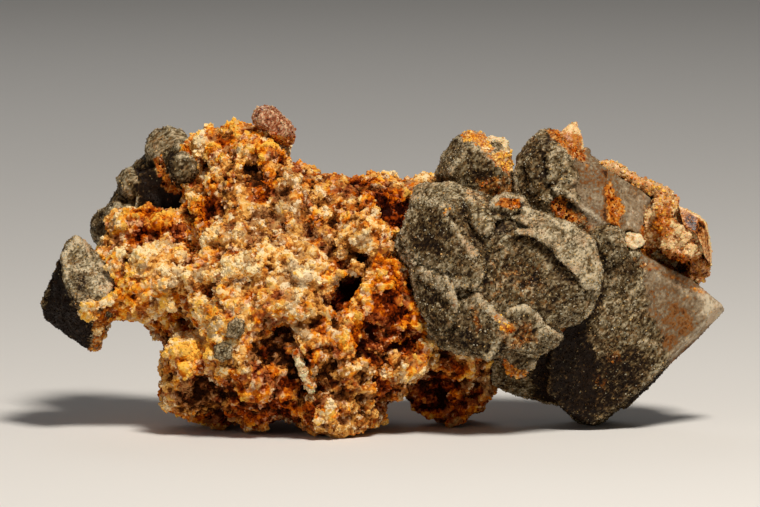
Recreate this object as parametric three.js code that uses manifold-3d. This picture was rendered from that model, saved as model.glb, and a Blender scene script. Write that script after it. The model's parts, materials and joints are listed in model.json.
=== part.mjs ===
// Stolzite specimen: grey tetragonal dipyramids, crusted with fine druse, standing in a
// crumbly matrix of quartz stained by iron. Millimetres, +Z up, and -Y is the show side.
// The origin is on the surface that the specimen rests on, under the middle of its box.
//
// Every stone is a union of two kinds of building block. A chunk is the convex solid of a few
// corners, for crystals with faces. A lump is a blocky, slightly uneven ball, for weathered rock.
import * as THREE from "three";
import { ConvexGeometry } from "three/addons/geometries/ConvexGeometry.js";
import { ImprovedNoise } from "three/addons/math/ImprovedNoise.js";
import { mergeVertices } from "three/addons/utils/BufferGeometryUtils.js";
import Module from "manifold-3d";

const wasm = await Module();
wasm.setup();

// Driving dimensions
const LENGTH = 80; // overall, along X
const DRAWN_LENGTH = 80; // the length that the corners and lumps below are given for
const CRYSTAL_GAP = 0.35; // between two stones that touch
const WOBBLE_SIZE = 3.2; // width of the unevenness on a lump
const AXIS_GROWTH = 1.4; // extra room along the axes, so that slanted faces get enough

const noise = new ImprovedNoise();

// ---------------------------------------------------------------- building blocks

function toSolid(geometry) {
  geometry.deleteAttribute("normal");
  geometry.deleteAttribute("uv");
  const merged = mergeVertices(geometry, 1e-4);
  return new wasm.Manifold(
    new wasm.Mesh({
      numProp: 3,
      vertProperties: new Float32Array(merged.attributes.position.array),
      triVerts: new Uint32Array(merged.index.array),
    }),
  );
}

function toGeometry(solid) {
  const { numProp, numVert, vertProperties, triVerts } = solid.getMesh();
  const position = new Float32Array(numVert * 3);
  for (let i = 0; i < numVert; i++) {
    position.set(vertProperties.subarray(i * numProp, i * numProp + 3), i * 3);
  }
  return new THREE.BufferGeometry()
    .setAttribute("position", new THREE.BufferAttribute(position, 3))
    .setIndex(new THREE.BufferAttribute(triVerts, 1));
}

// A convex solid with these corners. grow moves its whole surface out, by a little more at the
// faces that lie square to an axis.
function chunk(corners, grow = 0) {
  const centres = corners.map(([x, y, z]) => new THREE.Vector3(x, y, z));
  if (grow === 0) return toSolid(new ConvexGeometry(centres));
  const steps = [-1, 1].flatMap((way) => [
    new THREE.Vector3(way * grow * AXIS_GROWTH, 0, 0),
    new THREE.Vector3(0, way * grow * AXIS_GROWTH, 0),
    new THREE.Vector3(0, 0, way * grow * AXIS_GROWTH),
  ]);
  const grown = centres.flatMap((centre) => steps.map((step) => centre.clone().add(step)));
  return toSolid(new ConvexGeometry(grown));
}

// An uneven ball. squareness 2 is an ellipsoid and higher is boxier, lean turns it about Y, and
// detail is how often the starting icosahedron is subdivided.
function lump(description, grow = 0) {
  const { at, size, squareness = 2.6, roughness = 0.1, lean = 0, detail = 2 } = description;
  const ball = new THREE.IcosahedronGeometry(1, detail);
  const position = ball.attributes.position;
  const way = new THREE.Vector3();
  const reach = new THREE.Vector3(...size).addScalar(grow);
  for (let i = 0; i < position.count; i++) {
    way.fromBufferAttribute(position, i).normalize();
    const [ax, ay, az] = way.toArray().map((c) => Math.abs(c) ** squareness);
    const radius = 1 / (ax + ay + az) ** (1 / squareness);
    const [nx, ny, nz] = at.map((c, k) => (c + way.getComponent(k) * size[k]) / WOBBLE_SIZE);
    const wobble = 1 + roughness * noise.noise(nx, ny, nz) * 2;
    way.multiplyScalar(radius * wobble).multiply(reach);
    position.setXYZ(i, way.x, way.y, way.z);
  }
  ball.rotateY(THREE.MathUtils.degToRad(lean));
  ball.translate(...at);
  return toSolid(ball);
}

const block = (description, grow) =>
  Array.isArray(description) ? chunk(description, grow) : lump(description, grow);

function join(descriptions, grow = 0) {
  return descriptions
    .map((description) => block(description, grow))
    .reduce((whole, next) => whole.add(next));
}

const cut = (solid, tools) => tools.reduce((left, tool) => left.subtract(tool), solid);

// ---------------------------------------------------------------- the right-hand crystals

// The nearest crystal: two thick plates that meet in a ridge, with a shallow basin beside it.
const frontCrystal = [
  [
    [4, -6, 29.4], [3.6, -7, 27.8], [2.4, -8, 24.6], [1.5, -8.4, 22.6], [2.5, -9, 20.8],
    [4.3, -9.8, 19.6], [5.4, -10.6, 18.5], [7.8, -10.6, 27.2], [9.2, -11.6, 24.6],
    [10.2, -12.4, 22.2], [11.7, -12.8, 19.8], [11.3, -12.8, 17.8], [8, -12, 18],
    [8, -6.6, 29.6], [11, -7, 28.4], [5, -2, 26], [5, -2, 20], [11, -2, 26], [11, -2, 19],
  ],
  [
    [9.4, -6.8, 29.2], [12.7, -7, 27.4], [16.4, -7.4, 26.6], [20, -7.6, 25], [23.8, -8, 22.8],
    [24.9, -8.4, 20.9], [24.6, -8.8, 19], [25, -9.4, 16.9], [24.2, -9.6, 15.1],
    [22.6, -9.6, 13.5], [19, -10.4, 13],
    [10.2, -10.6, 26.6], [14, -11, 25.2], [17, -11.4, 25], [19.6, -11.8, 22.2],
    [22.6, -11.8, 18.9], [22.8, -11, 15.6], [19, -11.4, 14.2], [12.6, -11.8, 15.6],
    [12, -1, 26], [22, -1.4, 22], [21.4, -2, 15.6], [12, -2, 17],
  ],
];
// The hollow under the front crystal's upper right rim.
const frontBasin = { at: [16.2, -14.6, 20.4], size: [4.4, 4, 3.6], lean: 38, detail: 1 };

// A low stepped block that carries the front crystal's lower edge.
const footCrystal = [
  [
    [5.1, -10, 18.4], [7.4, -11.4, 16.8], [9, -12.4, 15.4], [11.2, -12.8, 16], [16, -12.8, 13.8],
    [19.4, -11.6, 13], [21, -9.6, 12], [20.2, -9, 11], [18, -9.6, 9.8], [12.4, -10, 9.6],
    [9, -11, 10.2], [6.8, -10.6, 10.8], [5.4, -9.8, 12.8],
    [5.6, -3, 17], [19, -3, 13.4], [18.6, -3, 11.2], [11.6, -3, 10.2], [6.4, -3, 12.4],
  ],
  [
    [14.2, -8.4, 10.6], [18.2, -8.4, 10.6], [17.4, -8.6, 8], [16, -8.4, 7], [14.4, -8, 7.6],
    [14.4, -3.6, 10.4], [18, -3.6, 10.4], [16.4, -3.6, 8],
  ],
];

// The dipyramid with the sharp right-hand point. Its front face leans back to the foot that it
// stands on, and a small domed crystal has grown on its top edge.
const lowerRightCrystal = [
  [
    [40, -0.4, 14.5], [36.2, -2.2, 17.8], [29.3, -5, 21.2], [24.6, -5.4, 23.9],
    [39, -1.6, 14.2], [32.2, -3.8, 7.4], [30.7, 1.5, 4.7], [27, 4, 1.2],
    [20, -6.4, 12.8], [26, -3, 1.9], [24.4, -3, 1.2], [22, -3, 2.2], [19.4, -4, 4.8],
    [25.3, 5.2, -0.4], [23.6, 5.2, -0.4],
    [34.4, 7, 15], [25, 10, 20], [25, 9.6, 3], [18, 8, 6], [18, 8, 16],
  ],
  [
    [21.4, 2, 2.4], [19, 1.6, 3.6], [16.6, 1.2, 3.6], [14.1, 1, 4.5], [12.9, 0.8, 5],
    [13, -1, 8], [17.4, -4.8, 9.6], [21, -5.6, 11],
    [21, 7, 4], [15.4, 6.6, 6], [13.6, 5, 10.4], [21, 5, 12],
  ],
  { at: [26.3, -4.8, 22], size: [2.3, 2.4, 2.3], squareness: 2.3 },
];

// The dipyramid behind the front crystal, with its top at left and its ridge falling right.
const upperRightCrystal = [
  [
    [16.7, -1, 33.6], [18.4, 0, 35.1], [20.8, 0.4, 34.9], [23.6, 0.4, 32.9], [25.8, 0, 31.4],
    [31.3, 0.6, 28.8], [31.6, -0.6, 24.8], [30.6, -2.4, 21.6], [28.6, -4.2, 22.4],
    [15.6, -2.6, 31.6], [15.4, -3.6, 27.6], [20.2, -3.4, 33.2], [20.2, -6.2, 27.4],
    [22, -6.2, 24.8], [26, -2.6, 30.6], [26, -5.2, 24.6],
    [17, 9, 31], [29.6, 9, 26.4], [29.6, 8, 21.5], [16.6, 8, 25],
  ],
];

// The squat crystal left of a narrow crack.
const blockCrystal = [
  [
    [6.4, -1, 29.6], [7, -0.8, 32.2], [8.7, -0.4, 34.4], [10.2, -0.2, 35.1], [12, 0, 34.2],
    [13.8, 0, 34], [14.8, -0.8, 31.8], [14.8, -3, 28.8], [14.4, -4, 26.2], [10.6, -5, 26.6],
    [8, -3.8, 28], [8.6, -3.6, 32.4], [11.6, -4.8, 31.2], [14, -4, 30.4],
    [8.4, 6, 32.4], [13.4, 6.4, 32.2], [14, 6, 26], [8, 5.6, 27],
  ],
];

// ---------------------------------------------------------------- the left-hand crystals

// The dipyramid at the far left, standing out from the arm of the matrix.
const leftEndCrystal = [
  [
    [-37, -3.2, 22.1], [-36.1, -3, 22.9], [-35.2, -3, 22.5], [-33.8, -3.6, 20.6],
    [-31.2, -4.8, 18.2], [-32.4, -6.8, 16.4], [-35.4, -8, 15.8], [-36.9, -6, 19.2],
    [-38.2, -3.2, 18.6], [-40, -2, 14.5], [-39.2, -2, 12.8], [-35, -3.2, 10.1],
    [-33.5, -3, 9.5], [-32.6, -2.6, 12.4], [-31.6, -3, 14.4],
    [-38, 3, 15], [-36, 3.6, 19.4], [-33, 3.6, 17.6], [-33.6, 2.4, 12], [-37, 2.4, 12.6],
  ],
];

// A chain of rounded crystals, grown through each other, along the back of the left shoulder.
const backLeftCrystals = [
  { at: [-25.2, 8.6, 31.4], size: [2.8, 3, 3] },
  { at: [-23.2, 6.6, 29.6], size: [2.5, 2.9, 2.7] },
  { at: [-26.9, 9.4, 28.3], size: [3, 3.2, 2.8] },
  { at: [-29, 9.2, 27.5], size: [2, 2.8, 2.3] },
  { at: [-30.3, 9, 24.9], size: [2, 3, 2.2] },
  { at: [-32.2, 8.4, 22.8], size: [2.1, 2.8, 2.1] },
].map((crystal) => ({ ...crystal, squareness: 2.4, detail: 1 }));

// A small grey crystal of three grown-together domes, set in the show side of the matrix.
const smallGreyCrystal = [
  { at: [-18.8, -11.8, 11.4], size: [1.3, 1.7, 1.2] },
  { at: [-17.3, -11.8, 12.9], size: [1.1, 1.8, 1.3] },
  { at: [-16.4, -11.8, 14.4], size: [0.9, 1.6, 1] },
].map((crystal) => ({ ...crystal, squareness: 2.4, detail: 1 }));

// A smooth brown crystal, longer than wide, that leans on the highest crag.
const topKnobCrystal = [
  { at: [-13.5, -0.4, 36.5], size: [1.8, 1.7, 1.8] },
  { at: [-12, -0.4, 35.2], size: [1.7, 1.7, 1.8] },
].map((crystal) => ({ ...crystal, squareness: 2.4, detail: 1, roughness: 0.06 }));

// ---------------------------------------------------------------- the quartz

// Stained quartz between the two dipyramids, with a crust that runs up behind the ridge.
const rightQuartzCluster = [
  [
    [31.9, -2.4, 29], [33.2, -2, 28.2], [34.4, -1, 27.1], [34.8, -2, 24.8], [32.4, -4, 24.2],
    [32, -4, 26.6], [32.4, 5, 27.4], [34, 5, 25.4],
  ],
  [
    [34.5, 0, 26.2], [36.8, 0, 24.8], [37.9, 0.6, 23.2], [38.4, 0.6, 20.6], [38.5, 1, 18.7],
    [37.8, 0.6, 18.2], [36, -2.6, 22], [35, -2.6, 24.2], [34.4, 6, 24.4], [37, 6, 20.4],
  ],
  [
    [32.2, -4.2, 24.6], [35, -4.4, 24.2], [37.3, -2.6, 22.8], [37, -3.2, 20.7], [35, -5, 20.9],
    [32.8, -4.6, 22], [32.6, 3, 23.6], [37, 3, 22.6], [36, 3, 19],
  ],
  [
    [35.8, -2.4, 20.8], [38, -1, 19.2], [37.4, -1, 17.8], [36.4, -1, 17.2], [35.2, -2, 18.6],
    [36, 5, 20.2], [37.6, 5, 18.4],
  ],
  [
    [25.8, 1.6, 30.5], [26.8, 2.2, 31.2], [28.6, 2.2, 30.4], [30.4, 2.6, 29.2], [33.2, 3, 27.6],
    [26.4, 8, 29], [30, 9.4, 27], [33, 8, 25.6], [32.6, 2.4, 25],
  ],
];

// A splintery crystal that stands on the upper dipyramid's top edge.
const spikeCrystal = [
  [
    [20.3, -0.8, 34.6], [21.3, -0.8, 35.2], [22.3, -0.2, 36.2], [22.9, -0.2, 35.4],
    [23.4, -0.4, 34.2], [23.5, -0.6, 32.8], [22.1, -2.2, 32.6], [20.6, -2, 33.6],
    [21.4, 2, 34.4], [23, 1.6, 33.2],
  ],
];

// A small cream crystal on the block crystal's top.
const blockQuartz = [
  [
    [11.4, -0.8, 33.8], [12.8, -0.6, 34.4], [14.3, -0.6, 34.1], [14.8, -1, 33],
    [12.2, -3.4, 32.4], [14.2, -3.4, 31.6], [12, 3, 33.6], [14.2, 3, 33.4],
  ],
];

// A small cream crystal in the notch between the two right-hand dipyramids.
const paleQuartzChip = [
  [
    [28.4, -5.4, 23.6], [30.2, -5.2, 23.4], [30.6, -5, 22.2], [29.2, -5.8, 21.8],
    [28, -5.4, 22.4], [28.6, -2, 23.2], [30, -2, 22.4], [28.8, -2, 21.8],
  ],
];

// A thin pale ridge that stands out of the matrix, low on the show side.
const paleQuartzBlade = [
  [
    [-10.8, -13.2, 10.8], [-9.9, -13.2, 11.2], [-8.7, -13.8, 8.2], [-9.8, -13.8, 7.8],
    [-7.5, -13.4, 5.8], [-8.5, -13.4, 5.4],
    [-10, -8, 10], [-9, -8, 8], [-8, -8, 6],
  ],
];

// ---------------------------------------------------------------- the matrix

// The lumps of one porous mass, from the feet up.
const matrixLumps = [
  // the feet
  { at: [-19.6, 0.4, 3], size: [2.5, 5, 3.3] },
  { at: [-14.4, -3, 3.4], size: [2.8, 6, 3.5] },
  { at: [-6.6, -6, 4], size: [4.2, 6.2, 4.4] },
  { at: [-3, -5, 4.4], size: [3.6, 6, 4.2] },
  { at: [0.6, -1, 7], size: [3.4, 6, 4] },
  // the lower half of the show side
  { at: [-22.2, -1.6, 6.4], size: [4, 8, 4.6], squareness: 4 },
  { at: [-22.6, -3, 9], size: [2.9, 7.6, 3.2], squareness: 3 },
  { at: [-13.6, -2, 8.4], size: [8.4, 10.2, 6.8], squareness: 3 },
  { at: [-5, -2, 9.6], size: [6.8, 10.4, 7.2], squareness: 2.8 },
  { at: [1.6, -3, 11.4], size: [4.4, 8.4, 5.8] },
  // the middle of the show side
  { at: [-12.5, -1, 17.4], size: [11.2, 11.2, 6.4], squareness: 2.8 },
  { at: [-1, -2.4, 16.6], size: [6, 9.2, 5.6] },
  { at: [-14, 1.4, 23.2], size: [8.6, 9.4, 5.2] },
  { at: [-2.4, -0.6, 23], size: [6.6, 9.2, 5] },
  // the arm that holds the left end crystal
  { at: [-27, -0.6, 18], size: [6, 7.4, 5] },
  { at: [-31.6, -1.2, 17.4], size: [3, 5, 3.8], lean: -14 },
  // the left shoulder and the crags
  { at: [-27.2, 3.4, 22.4], size: [5.8, 6, 3.6] },
  { at: [-31.4, 3, 20.4], size: [2.4, 4.6, 2.6] },
  { at: [-20.6, 4, 29.6], size: [3.4, 5, 5] },
  { at: [-16.4, 2, 30.8], size: [2.7, 4.6, 4.9] },
  { at: [-13.3, 0.4, 32], size: [2.3, 3.2, 3] },
  { at: [-10.4, 1, 27], size: [3.4, 6.4, 4] },
  { at: [-5.8, 1.6, 25.8], size: [3.7, 6.8, 4] },
  { at: [0.4, 1.6, 25.2], size: [4.4, 7.2, 4.2] },
  { at: [4.4, 2.6, 27.2], size: [3, 3.6, 2.4] },
  // what carries the right-hand crystals from behind
  { at: [9, 4.4, 21.4], size: [9, 7.4, 7.4] },
  { at: [17, 5.4, 18.4], size: [8.6, 6, 7.4], detail: 1 },
  { at: [29.4, 4, 20.4], size: [6.4, 4, 3.4], detail: 1 },
  { at: [7.6, 2, 11.4], size: [6.6, 7, 6.4], detail: 1 },
  { at: [25.6, 3, 19], size: [4, 4, 3], detail: 1 },
  // the back
  { at: [-16.8, 6.6, 9.6], size: [6.6, 6.2, 6.8], squareness: 3.4, lean: 8 },
  { at: [-4.6, 6.8, 11.8], size: [6.8, 6.4, 7.6], squareness: 3, lean: -10 },
  { at: [-12.6, 7.4, 18.8], size: [7.4, 6, 5.6], squareness: 3, lean: 6 },
  { at: [-1.4, 7.6, 20.6], size: [5.4, 5, 4.6], squareness: 3 },
  { at: [-24, 5.4, 16.2], size: [6.4, 5.8, 5.8], lean: -12 },
];

// The stained flake that hangs under the right-hand crystals and helps the specimen to stand.
const matrixFlake = [
  [3.3, 0.6, 2.9], [4.9, 0, 0.9], [6.7, -0.6, 1], [8.2, -1, -0.3], [9.5, -1, -0.3],
  [12, 0, 2.5], [13.2, 1.2, 4.2], [12.4, 0, 9], [5, -1, 10],
  [5, 6, 2.6], [8.4, 8, -0.3], [10.2, 7.4, -0.2], [12.4, 7.6, 5], [6, 8, 10],
];

// The vugs and pits of the show side.
const matrixHollows = [
  { at: [-4.4, -13, 17.3], size: [2.3, 4.6, 1.7], lean: -32 },
  { at: [-11.4, -13.2, 10.8], size: [1.7, 3, 2.8], lean: 12 },
  { at: [-20, -13, 5.4], size: [3, 2.6, 1.6] },
  { at: [-15.2, -4, 30.4], size: [1.5, 3.4, 2.2], lean: -20 },
  { at: [-20.4, -3.6, 26.4], size: [2, 4.4, 1.8] },
  { at: [1.6, -8.6, 27.2], size: [2.6, 3.2, 2.2] },
  { at: [2, -12.4, 18.6], size: [2.6, 3.4, 1.6], lean: 20 },
].map((hollow) => ({ ...hollow, detail: 1 }));

// ---------------------------------------------------------------- cutting the stones to fit

// The half space below the resting surface.
const ground = toSolid(
  new THREE.BoxGeometry(2, 2, 1).translate(0, 0, -1 / 2).scale(...Array(3).fill(DRAWN_LENGTH)),
);

const withRoom = (descriptions) => join(descriptions, CRYSTAL_GAP);

// A stone, cut back to leave a gap to each of its neighbours.
const fitted = (descriptions, ...neighbours) =>
  cut(join(descriptions), neighbours.map(withRoom));

const stones = {
  front_crystal: join(frontCrystal).subtract(lump(frontBasin)),
  foot_crystal: fitted(footCrystal, frontCrystal),
  lower_right_crystal: fitted(
    lowerRightCrystal,
    frontCrystal,
    footCrystal,
    paleQuartzChip,
  ).subtract(ground),
  upper_right_crystal: fitted(
    upperRightCrystal,
    frontCrystal,
    lowerRightCrystal,
    spikeCrystal,
    paleQuartzChip,
  ),
  block_crystal: fitted(blockCrystal, frontCrystal, upperRightCrystal, blockQuartz),
  right_quartz_cluster: fitted(
    rightQuartzCluster,
    lowerRightCrystal,
    upperRightCrystal,
    paleQuartzChip,
  ),
  spike_crystal: join(spikeCrystal),
  block_quartz: join(blockQuartz),
  pale_quartz_chip: join(paleQuartzChip),
  left_end_crystal: join(leftEndCrystal),
  back_left_crystals: join(backLeftCrystals),
  small_grey_crystal: join(smallGreyCrystal),
  top_knob_crystal: join(topKnobCrystal),
  pale_quartz_blade: join(paleQuartzBlade),
};

stones.matrix = fitted(
  [...matrixLumps, matrixFlake],
  frontCrystal,
  footCrystal,
  lowerRightCrystal,
  upperRightCrystal,
  blockCrystal,
  rightQuartzCluster,
  spikeCrystal,
  blockQuartz,
  paleQuartzChip,
  leftEndCrystal,
  backLeftCrystals,
  smallGreyCrystal,
  topKnobCrystal,
  paleQuartzBlade,
);
stones.matrix = cut(stones.matrix, [...matrixHollows.map((hollow) => lump(hollow)), ground]);

// ---------------------------------------------------------------- materials and the group

const stoneMaterial = (color, roughness) =>
  new THREE.MeshStandardMaterial({ color, roughness, metalness: 0 });

const druse = stoneMaterial(0x6c685c, 0.75);
const stainedQuartz = stoneMaterial(0xb8814f, 0.45);
const paleQuartz = stoneMaterial(0xd9bd8e, 0.4);
const brownCrystal = stoneMaterial(0x96604a, 0.4);
const gossan = stoneMaterial(0xd9a14c, 0.85);

const materialOf = {
  matrix: gossan,
  right_quartz_cluster: stainedQuartz,
  spike_crystal: stainedQuartz,
  block_quartz: paleQuartz,
  pale_quartz_chip: paleQuartz,
  pale_quartz_blade: paleQuartz,
  top_knob_crystal: brownCrystal,
};

const specimen = new THREE.Group();
specimen.name = "stolzite_specimen";
specimen.scale.setScalar(LENGTH / DRAWN_LENGTH);
for (const [name, solid] of Object.entries(stones)) {
  const stone = new THREE.Mesh(toGeometry(solid), materialOf[name] ?? druse);
  stone.name = name;
  specimen.add(stone);
}

export default specimen;
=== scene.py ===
"""A stolzite specimen: druse-crusted grey crystals in a crumbly, iron-stained quartz matrix.

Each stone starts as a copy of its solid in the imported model, is shaped, roughened and crusted
with grains, and then stands in for that solid. Sizes in the code are millimetres where a name
says mm, and metres elsewhere. -Y is the show side.
"""

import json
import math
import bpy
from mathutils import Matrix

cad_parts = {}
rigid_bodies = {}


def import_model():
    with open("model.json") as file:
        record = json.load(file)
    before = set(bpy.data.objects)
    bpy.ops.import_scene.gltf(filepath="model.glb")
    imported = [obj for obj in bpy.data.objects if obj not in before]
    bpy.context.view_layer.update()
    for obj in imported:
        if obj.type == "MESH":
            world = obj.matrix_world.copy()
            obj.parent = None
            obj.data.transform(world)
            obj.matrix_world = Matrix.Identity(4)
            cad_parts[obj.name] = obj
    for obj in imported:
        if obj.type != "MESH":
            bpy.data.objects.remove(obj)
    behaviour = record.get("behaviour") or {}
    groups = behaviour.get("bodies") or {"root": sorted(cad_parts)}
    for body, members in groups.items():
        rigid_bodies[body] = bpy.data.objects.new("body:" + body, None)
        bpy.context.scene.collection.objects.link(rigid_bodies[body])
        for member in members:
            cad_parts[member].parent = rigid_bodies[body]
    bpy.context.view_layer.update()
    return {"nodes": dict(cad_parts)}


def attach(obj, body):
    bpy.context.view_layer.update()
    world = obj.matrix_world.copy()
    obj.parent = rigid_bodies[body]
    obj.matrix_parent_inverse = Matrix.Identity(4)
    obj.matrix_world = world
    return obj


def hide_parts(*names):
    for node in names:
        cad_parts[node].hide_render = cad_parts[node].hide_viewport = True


bl_info = {
    "name": "Stolzite specimen",
    "version": (1, 0, 0),
    "blender": (4, 5, 0),
    "location": "View3D > Sidebar > Specimen",
    "description": "Models a mineral specimen stone by stone around its packed frame",
    "category": "Object",
}

from functools import reduce

import bpy
import numpy as np
from mathutils import Vector
from mathutils.bvhtree import BVHTree

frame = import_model()
MM = 0.001
SHOW_ANGLE = math.radians(6.5)  # how far above the horizon the show side is seen from
SHOW_SLOPE = math.tan(SHOW_ANGLE)
SHOW_PLANE = -9  # mm, the depth at which a height as seen is the true height
FAR_FRONT = -100  # mm, well in front of every stone
OPEN_FRONT = -17  # mm, a little in front of every stone
BACK_EDGE = 1.5  # mm, the depth at which the marks of the show side fade out

# The grid that each kind of stone is remeshed on, in mm.
CRYSTAL_VOXEL = 0.26
QUARTZ_VOXEL = 0.2
KNOB_VOXEL = 0.18
MATRIX_LUMP_VOXEL = 0.6
MATRIX_VOXEL = 0.34

LEDGES = 7.0  # how many ledges a stepped relief has from its lowest to its highest place
BARE_SHARE = 0.2  # what a face with no druse keeps of a crystal's relief
DRUSE_LIFT = 0.05  # mm that a druse raises the face under it
FINE_RELIEF = 0.10  # mm, how deep the finest grain of a finish looks
SMOOTH_ANGLE = math.radians(35)  # faces that meet at less are shaded as one
CRYSTAL_CRUMBS = (5.5, 0.42)  # crumbs of the matrix on each square mm of a stain, and their mm
MATRIX_NODULES = (1.0, 1.5)  # the same for the knobs that the matrix is built up with
MATRIX_LEAN = (0.3, 0.5)  # mm that the bottom of a hollow is shifted across and up
MATRIX_SHRINK = 0.6  # mm, to leave room for its knobs
SENSOR_WIDTH = 36.0  # mm
AIM = Vector((0, 0, 0.02))  # the middle of the specimen, which the lights point at

# ------------------------------------------------------------------ settings


def colour_property(name, description, default):
    """A colour to pick in the sidebar."""
    return bpy.props.FloatVectorProperty(
        name=name, description=description, default=default, subtype="COLOR", min=0.0, max=1.0
    )


class StoneSettings(bpy.types.PropertyGroup):
    """Sizes and colours that the stones share."""

    druse_size: bpy.props.FloatProperty(
        name="Druse grain",
        description="Width of the grains that crust the grey crystals",
        default=0.31 * MM,
        unit="LENGTH",
    )
    druse_density: bpy.props.FloatProperty(
        name="Druse density",
        description="Druse grains on each square millimetre",
        default=14.0,
    )
    crumb_size: bpy.props.FloatProperty(
        name="Crumb",
        description="Width of the largest grains of the matrix",
        default=0.62 * MM,
        unit="LENGTH",
    )
    crumb_density: bpy.props.FloatProperty(
        name="Crumb density",
        description="Matrix grains on each square millimetre",
        default=5.4,
    )
    lead_grey: colour_property(
        "Crystal grey", "Colour of the crystals under their crust", (0.155, 0.110, 0.070)
    )
    rust: colour_property("Rust", "Colour of the strongest iron stain", (0.31, 0.042, 0.001))
    cream: colour_property(
        "Cream", "Colour of the cleanest quartz of the matrix", (0.88, 0.51, 0.14)
    )


class StageSettings(bpy.types.PropertyGroup):
    """The floor, the lights and the camera."""

    floor_colour: colour_property("Floor", "Colour of the plain floor", (0.80, 0.79, 0.77))
    camera_height: bpy.props.FloatProperty(
        name="Camera elevation",
        description="How far above the horizon the camera looks from",
        default=SHOW_ANGLE,
        subtype="ANGLE",
    )
    camera_lens: bpy.props.FloatProperty(
        name="Lens",
        description="Focal length in millimetres",
        default=400.0,
    )
    view_width: bpy.props.FloatProperty(
        name="View width",
        description="Width of the view at the specimen",
        default=89.2 * MM,
        unit="LENGTH",
    )


# ------------------------------------------------------------------ object helpers


def only(obj):
    """Selects one object and makes it active, with nothing else selected."""
    bpy.ops.object.select_all(action="DESELECT")
    obj.select_set(True)
    bpy.context.view_layer.objects.active = obj


def apply(obj, kind, **settings):
    """Adds one modifier with these settings and applies it."""
    only(obj)
    bpy.ops.object.modifier_add(type=kind)
    modifier = obj.modifiers[-1]
    for key, value in settings.items():
        setattr(modifier, key, value)
    bpy.ops.object.modifier_apply(modifier=modifier.name)


def twin(obj):
    """A copy of an object with its own mesh."""
    only(obj)
    bpy.ops.object.duplicate()
    return bpy.context.active_object


def stone_copy(node):
    """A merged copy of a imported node's solid, as a stone to model."""
    obj = twin(frame["nodes"][node])
    obj.name = f"{node}_stone"
    obj.data.name = obj.name
    for key in list(obj.keys()):
        del obj[key]
    obj.parent = None
    obj.data.materials.clear()
    bpy.ops.object.mode_set(mode="EDIT")
    bpy.ops.mesh.select_all(action="SELECT")
    bpy.ops.mesh.remove_doubles(threshold=0.002 * MM)
    bpy.ops.mesh.normals_make_consistent(inside=False)
    bpy.ops.object.mode_set(mode="OBJECT")
    return obj


def remesh(obj, voxel_mm):
    """Gives a stone one even skin."""
    apply(obj, "REMESH", mode="VOXEL", voxel_size=voxel_mm * MM)


def shrink(obj, depth_mm):
    """Moves the whole skin of a stone inwards."""
    apply(obj, "DISPLACE", strength=-depth_mm * MM, mid_level=0.0)


def corners_of(obj):
    """The vertex places of a mesh in millimetres, one row each."""
    place = np.empty(len(obj.data.vertices) * 3, np.float32)
    obj.data.vertices.foreach_get("co", place)
    return place.reshape(-1, 3).astype(float) / MM


def move_corners(obj, place):
    """Puts the vertices of a mesh at places in millimetres."""
    obj.data.vertices.foreach_set("co", (place * MM).astype(np.float32).ravel())
    obj.data.update()


def paint(obj, name, values):
    """Stores one number for each vertex under this name."""
    layer = obj.data.attributes.get(name) or obj.data.attributes.new(name, "FLOAT", "POINT")
    layer.data.foreach_set("value", np.asarray(values, np.float32))


def paint_of(obj, name):
    """The numbers that are stored under this name."""
    values = np.empty(len(obj.data.vertices), np.float32)
    obj.data.attributes[name].data.foreach_get("value", values)
    return values


def speckle(obj, seed):
    """Stores a random tint at each vertex, as the grains have."""
    paint(obj, "grain", np.random.default_rng(seed).random(len(obj.data.vertices)))


def show_point(obj, x, v):
    """Where a line of sight from the show side first meets a stone.

    x and v are mm across and up, as the stone appears from a little above the horizon.
    """
    start = Vector(seen(x, v, FAR_FRONT)) * MM
    met, place, _, face = obj.ray_cast(start, Vector((0, 1, -SHOW_SLOPE)).normalized())
    if not met:
        raise RuntimeError(f"{obj.name}: nothing at {x}, {v}")
    return place, face


def press(obj, strokes):
    """Pushes places of the show side in or out, as with a proportional edit.

    A stroke is (x, v, reach, push) in mm, and a positive push goes in.
    """
    only(obj)
    mesh = obj.data
    for x, v, reach, push in strokes:
        _, face = show_point(obj, x, v)
        for part in (mesh.vertices, mesh.edges, mesh.polygons):
            part.foreach_set("select", np.zeros(len(part), bool))
        mesh.vertices[mesh.polygons[face].vertices[0]].select = True
        bpy.ops.object.mode_set(mode="EDIT")
        bpy.ops.mesh.select_mode(type="VERT")
        bpy.ops.transform.translate(
            value=(0, push * MM, 0),
            use_proportional_edit=True,
            use_proportional_connected=True,
            proportional_edit_falloff="SMOOTH",
            proportional_size=reach * MM,
        )
        bpy.ops.object.mode_set(mode="OBJECT")


def prism(front, back):
    """A solid between two outlines with as many corners, each (x, y, z) in mm."""
    bpy.ops.object.select_all(action="DESELECT")
    bpy.ops.mesh.primitive_circle_add(vertices=len(front), radius=MM, fill_type="NGON")
    obj = bpy.context.active_object
    for corner, place in zip(obj.data.vertices, front):
        corner.co = Vector(place) * MM
    bpy.ops.object.mode_set(mode="EDIT")
    bpy.ops.mesh.select_all(action="SELECT")
    bpy.ops.mesh.extrude_region_move()
    bpy.ops.object.mode_set(mode="OBJECT")
    for corner, place in zip(obj.data.vertices[len(front):], back):
        corner.co = Vector(place) * MM
    bpy.ops.object.mode_set(mode="EDIT")
    bpy.ops.mesh.select_all(action="SELECT")
    bpy.ops.mesh.quads_convert_to_tris()
    bpy.ops.mesh.normals_make_consistent(inside=False)
    bpy.ops.object.mode_set(mode="OBJECT")
    return obj


def merge(obj, tool):
    """Joins a tool to a stone as it is; a remesh makes one skin of them."""
    only(obj)
    tool.select_set(True)
    bpy.ops.object.join()


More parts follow.
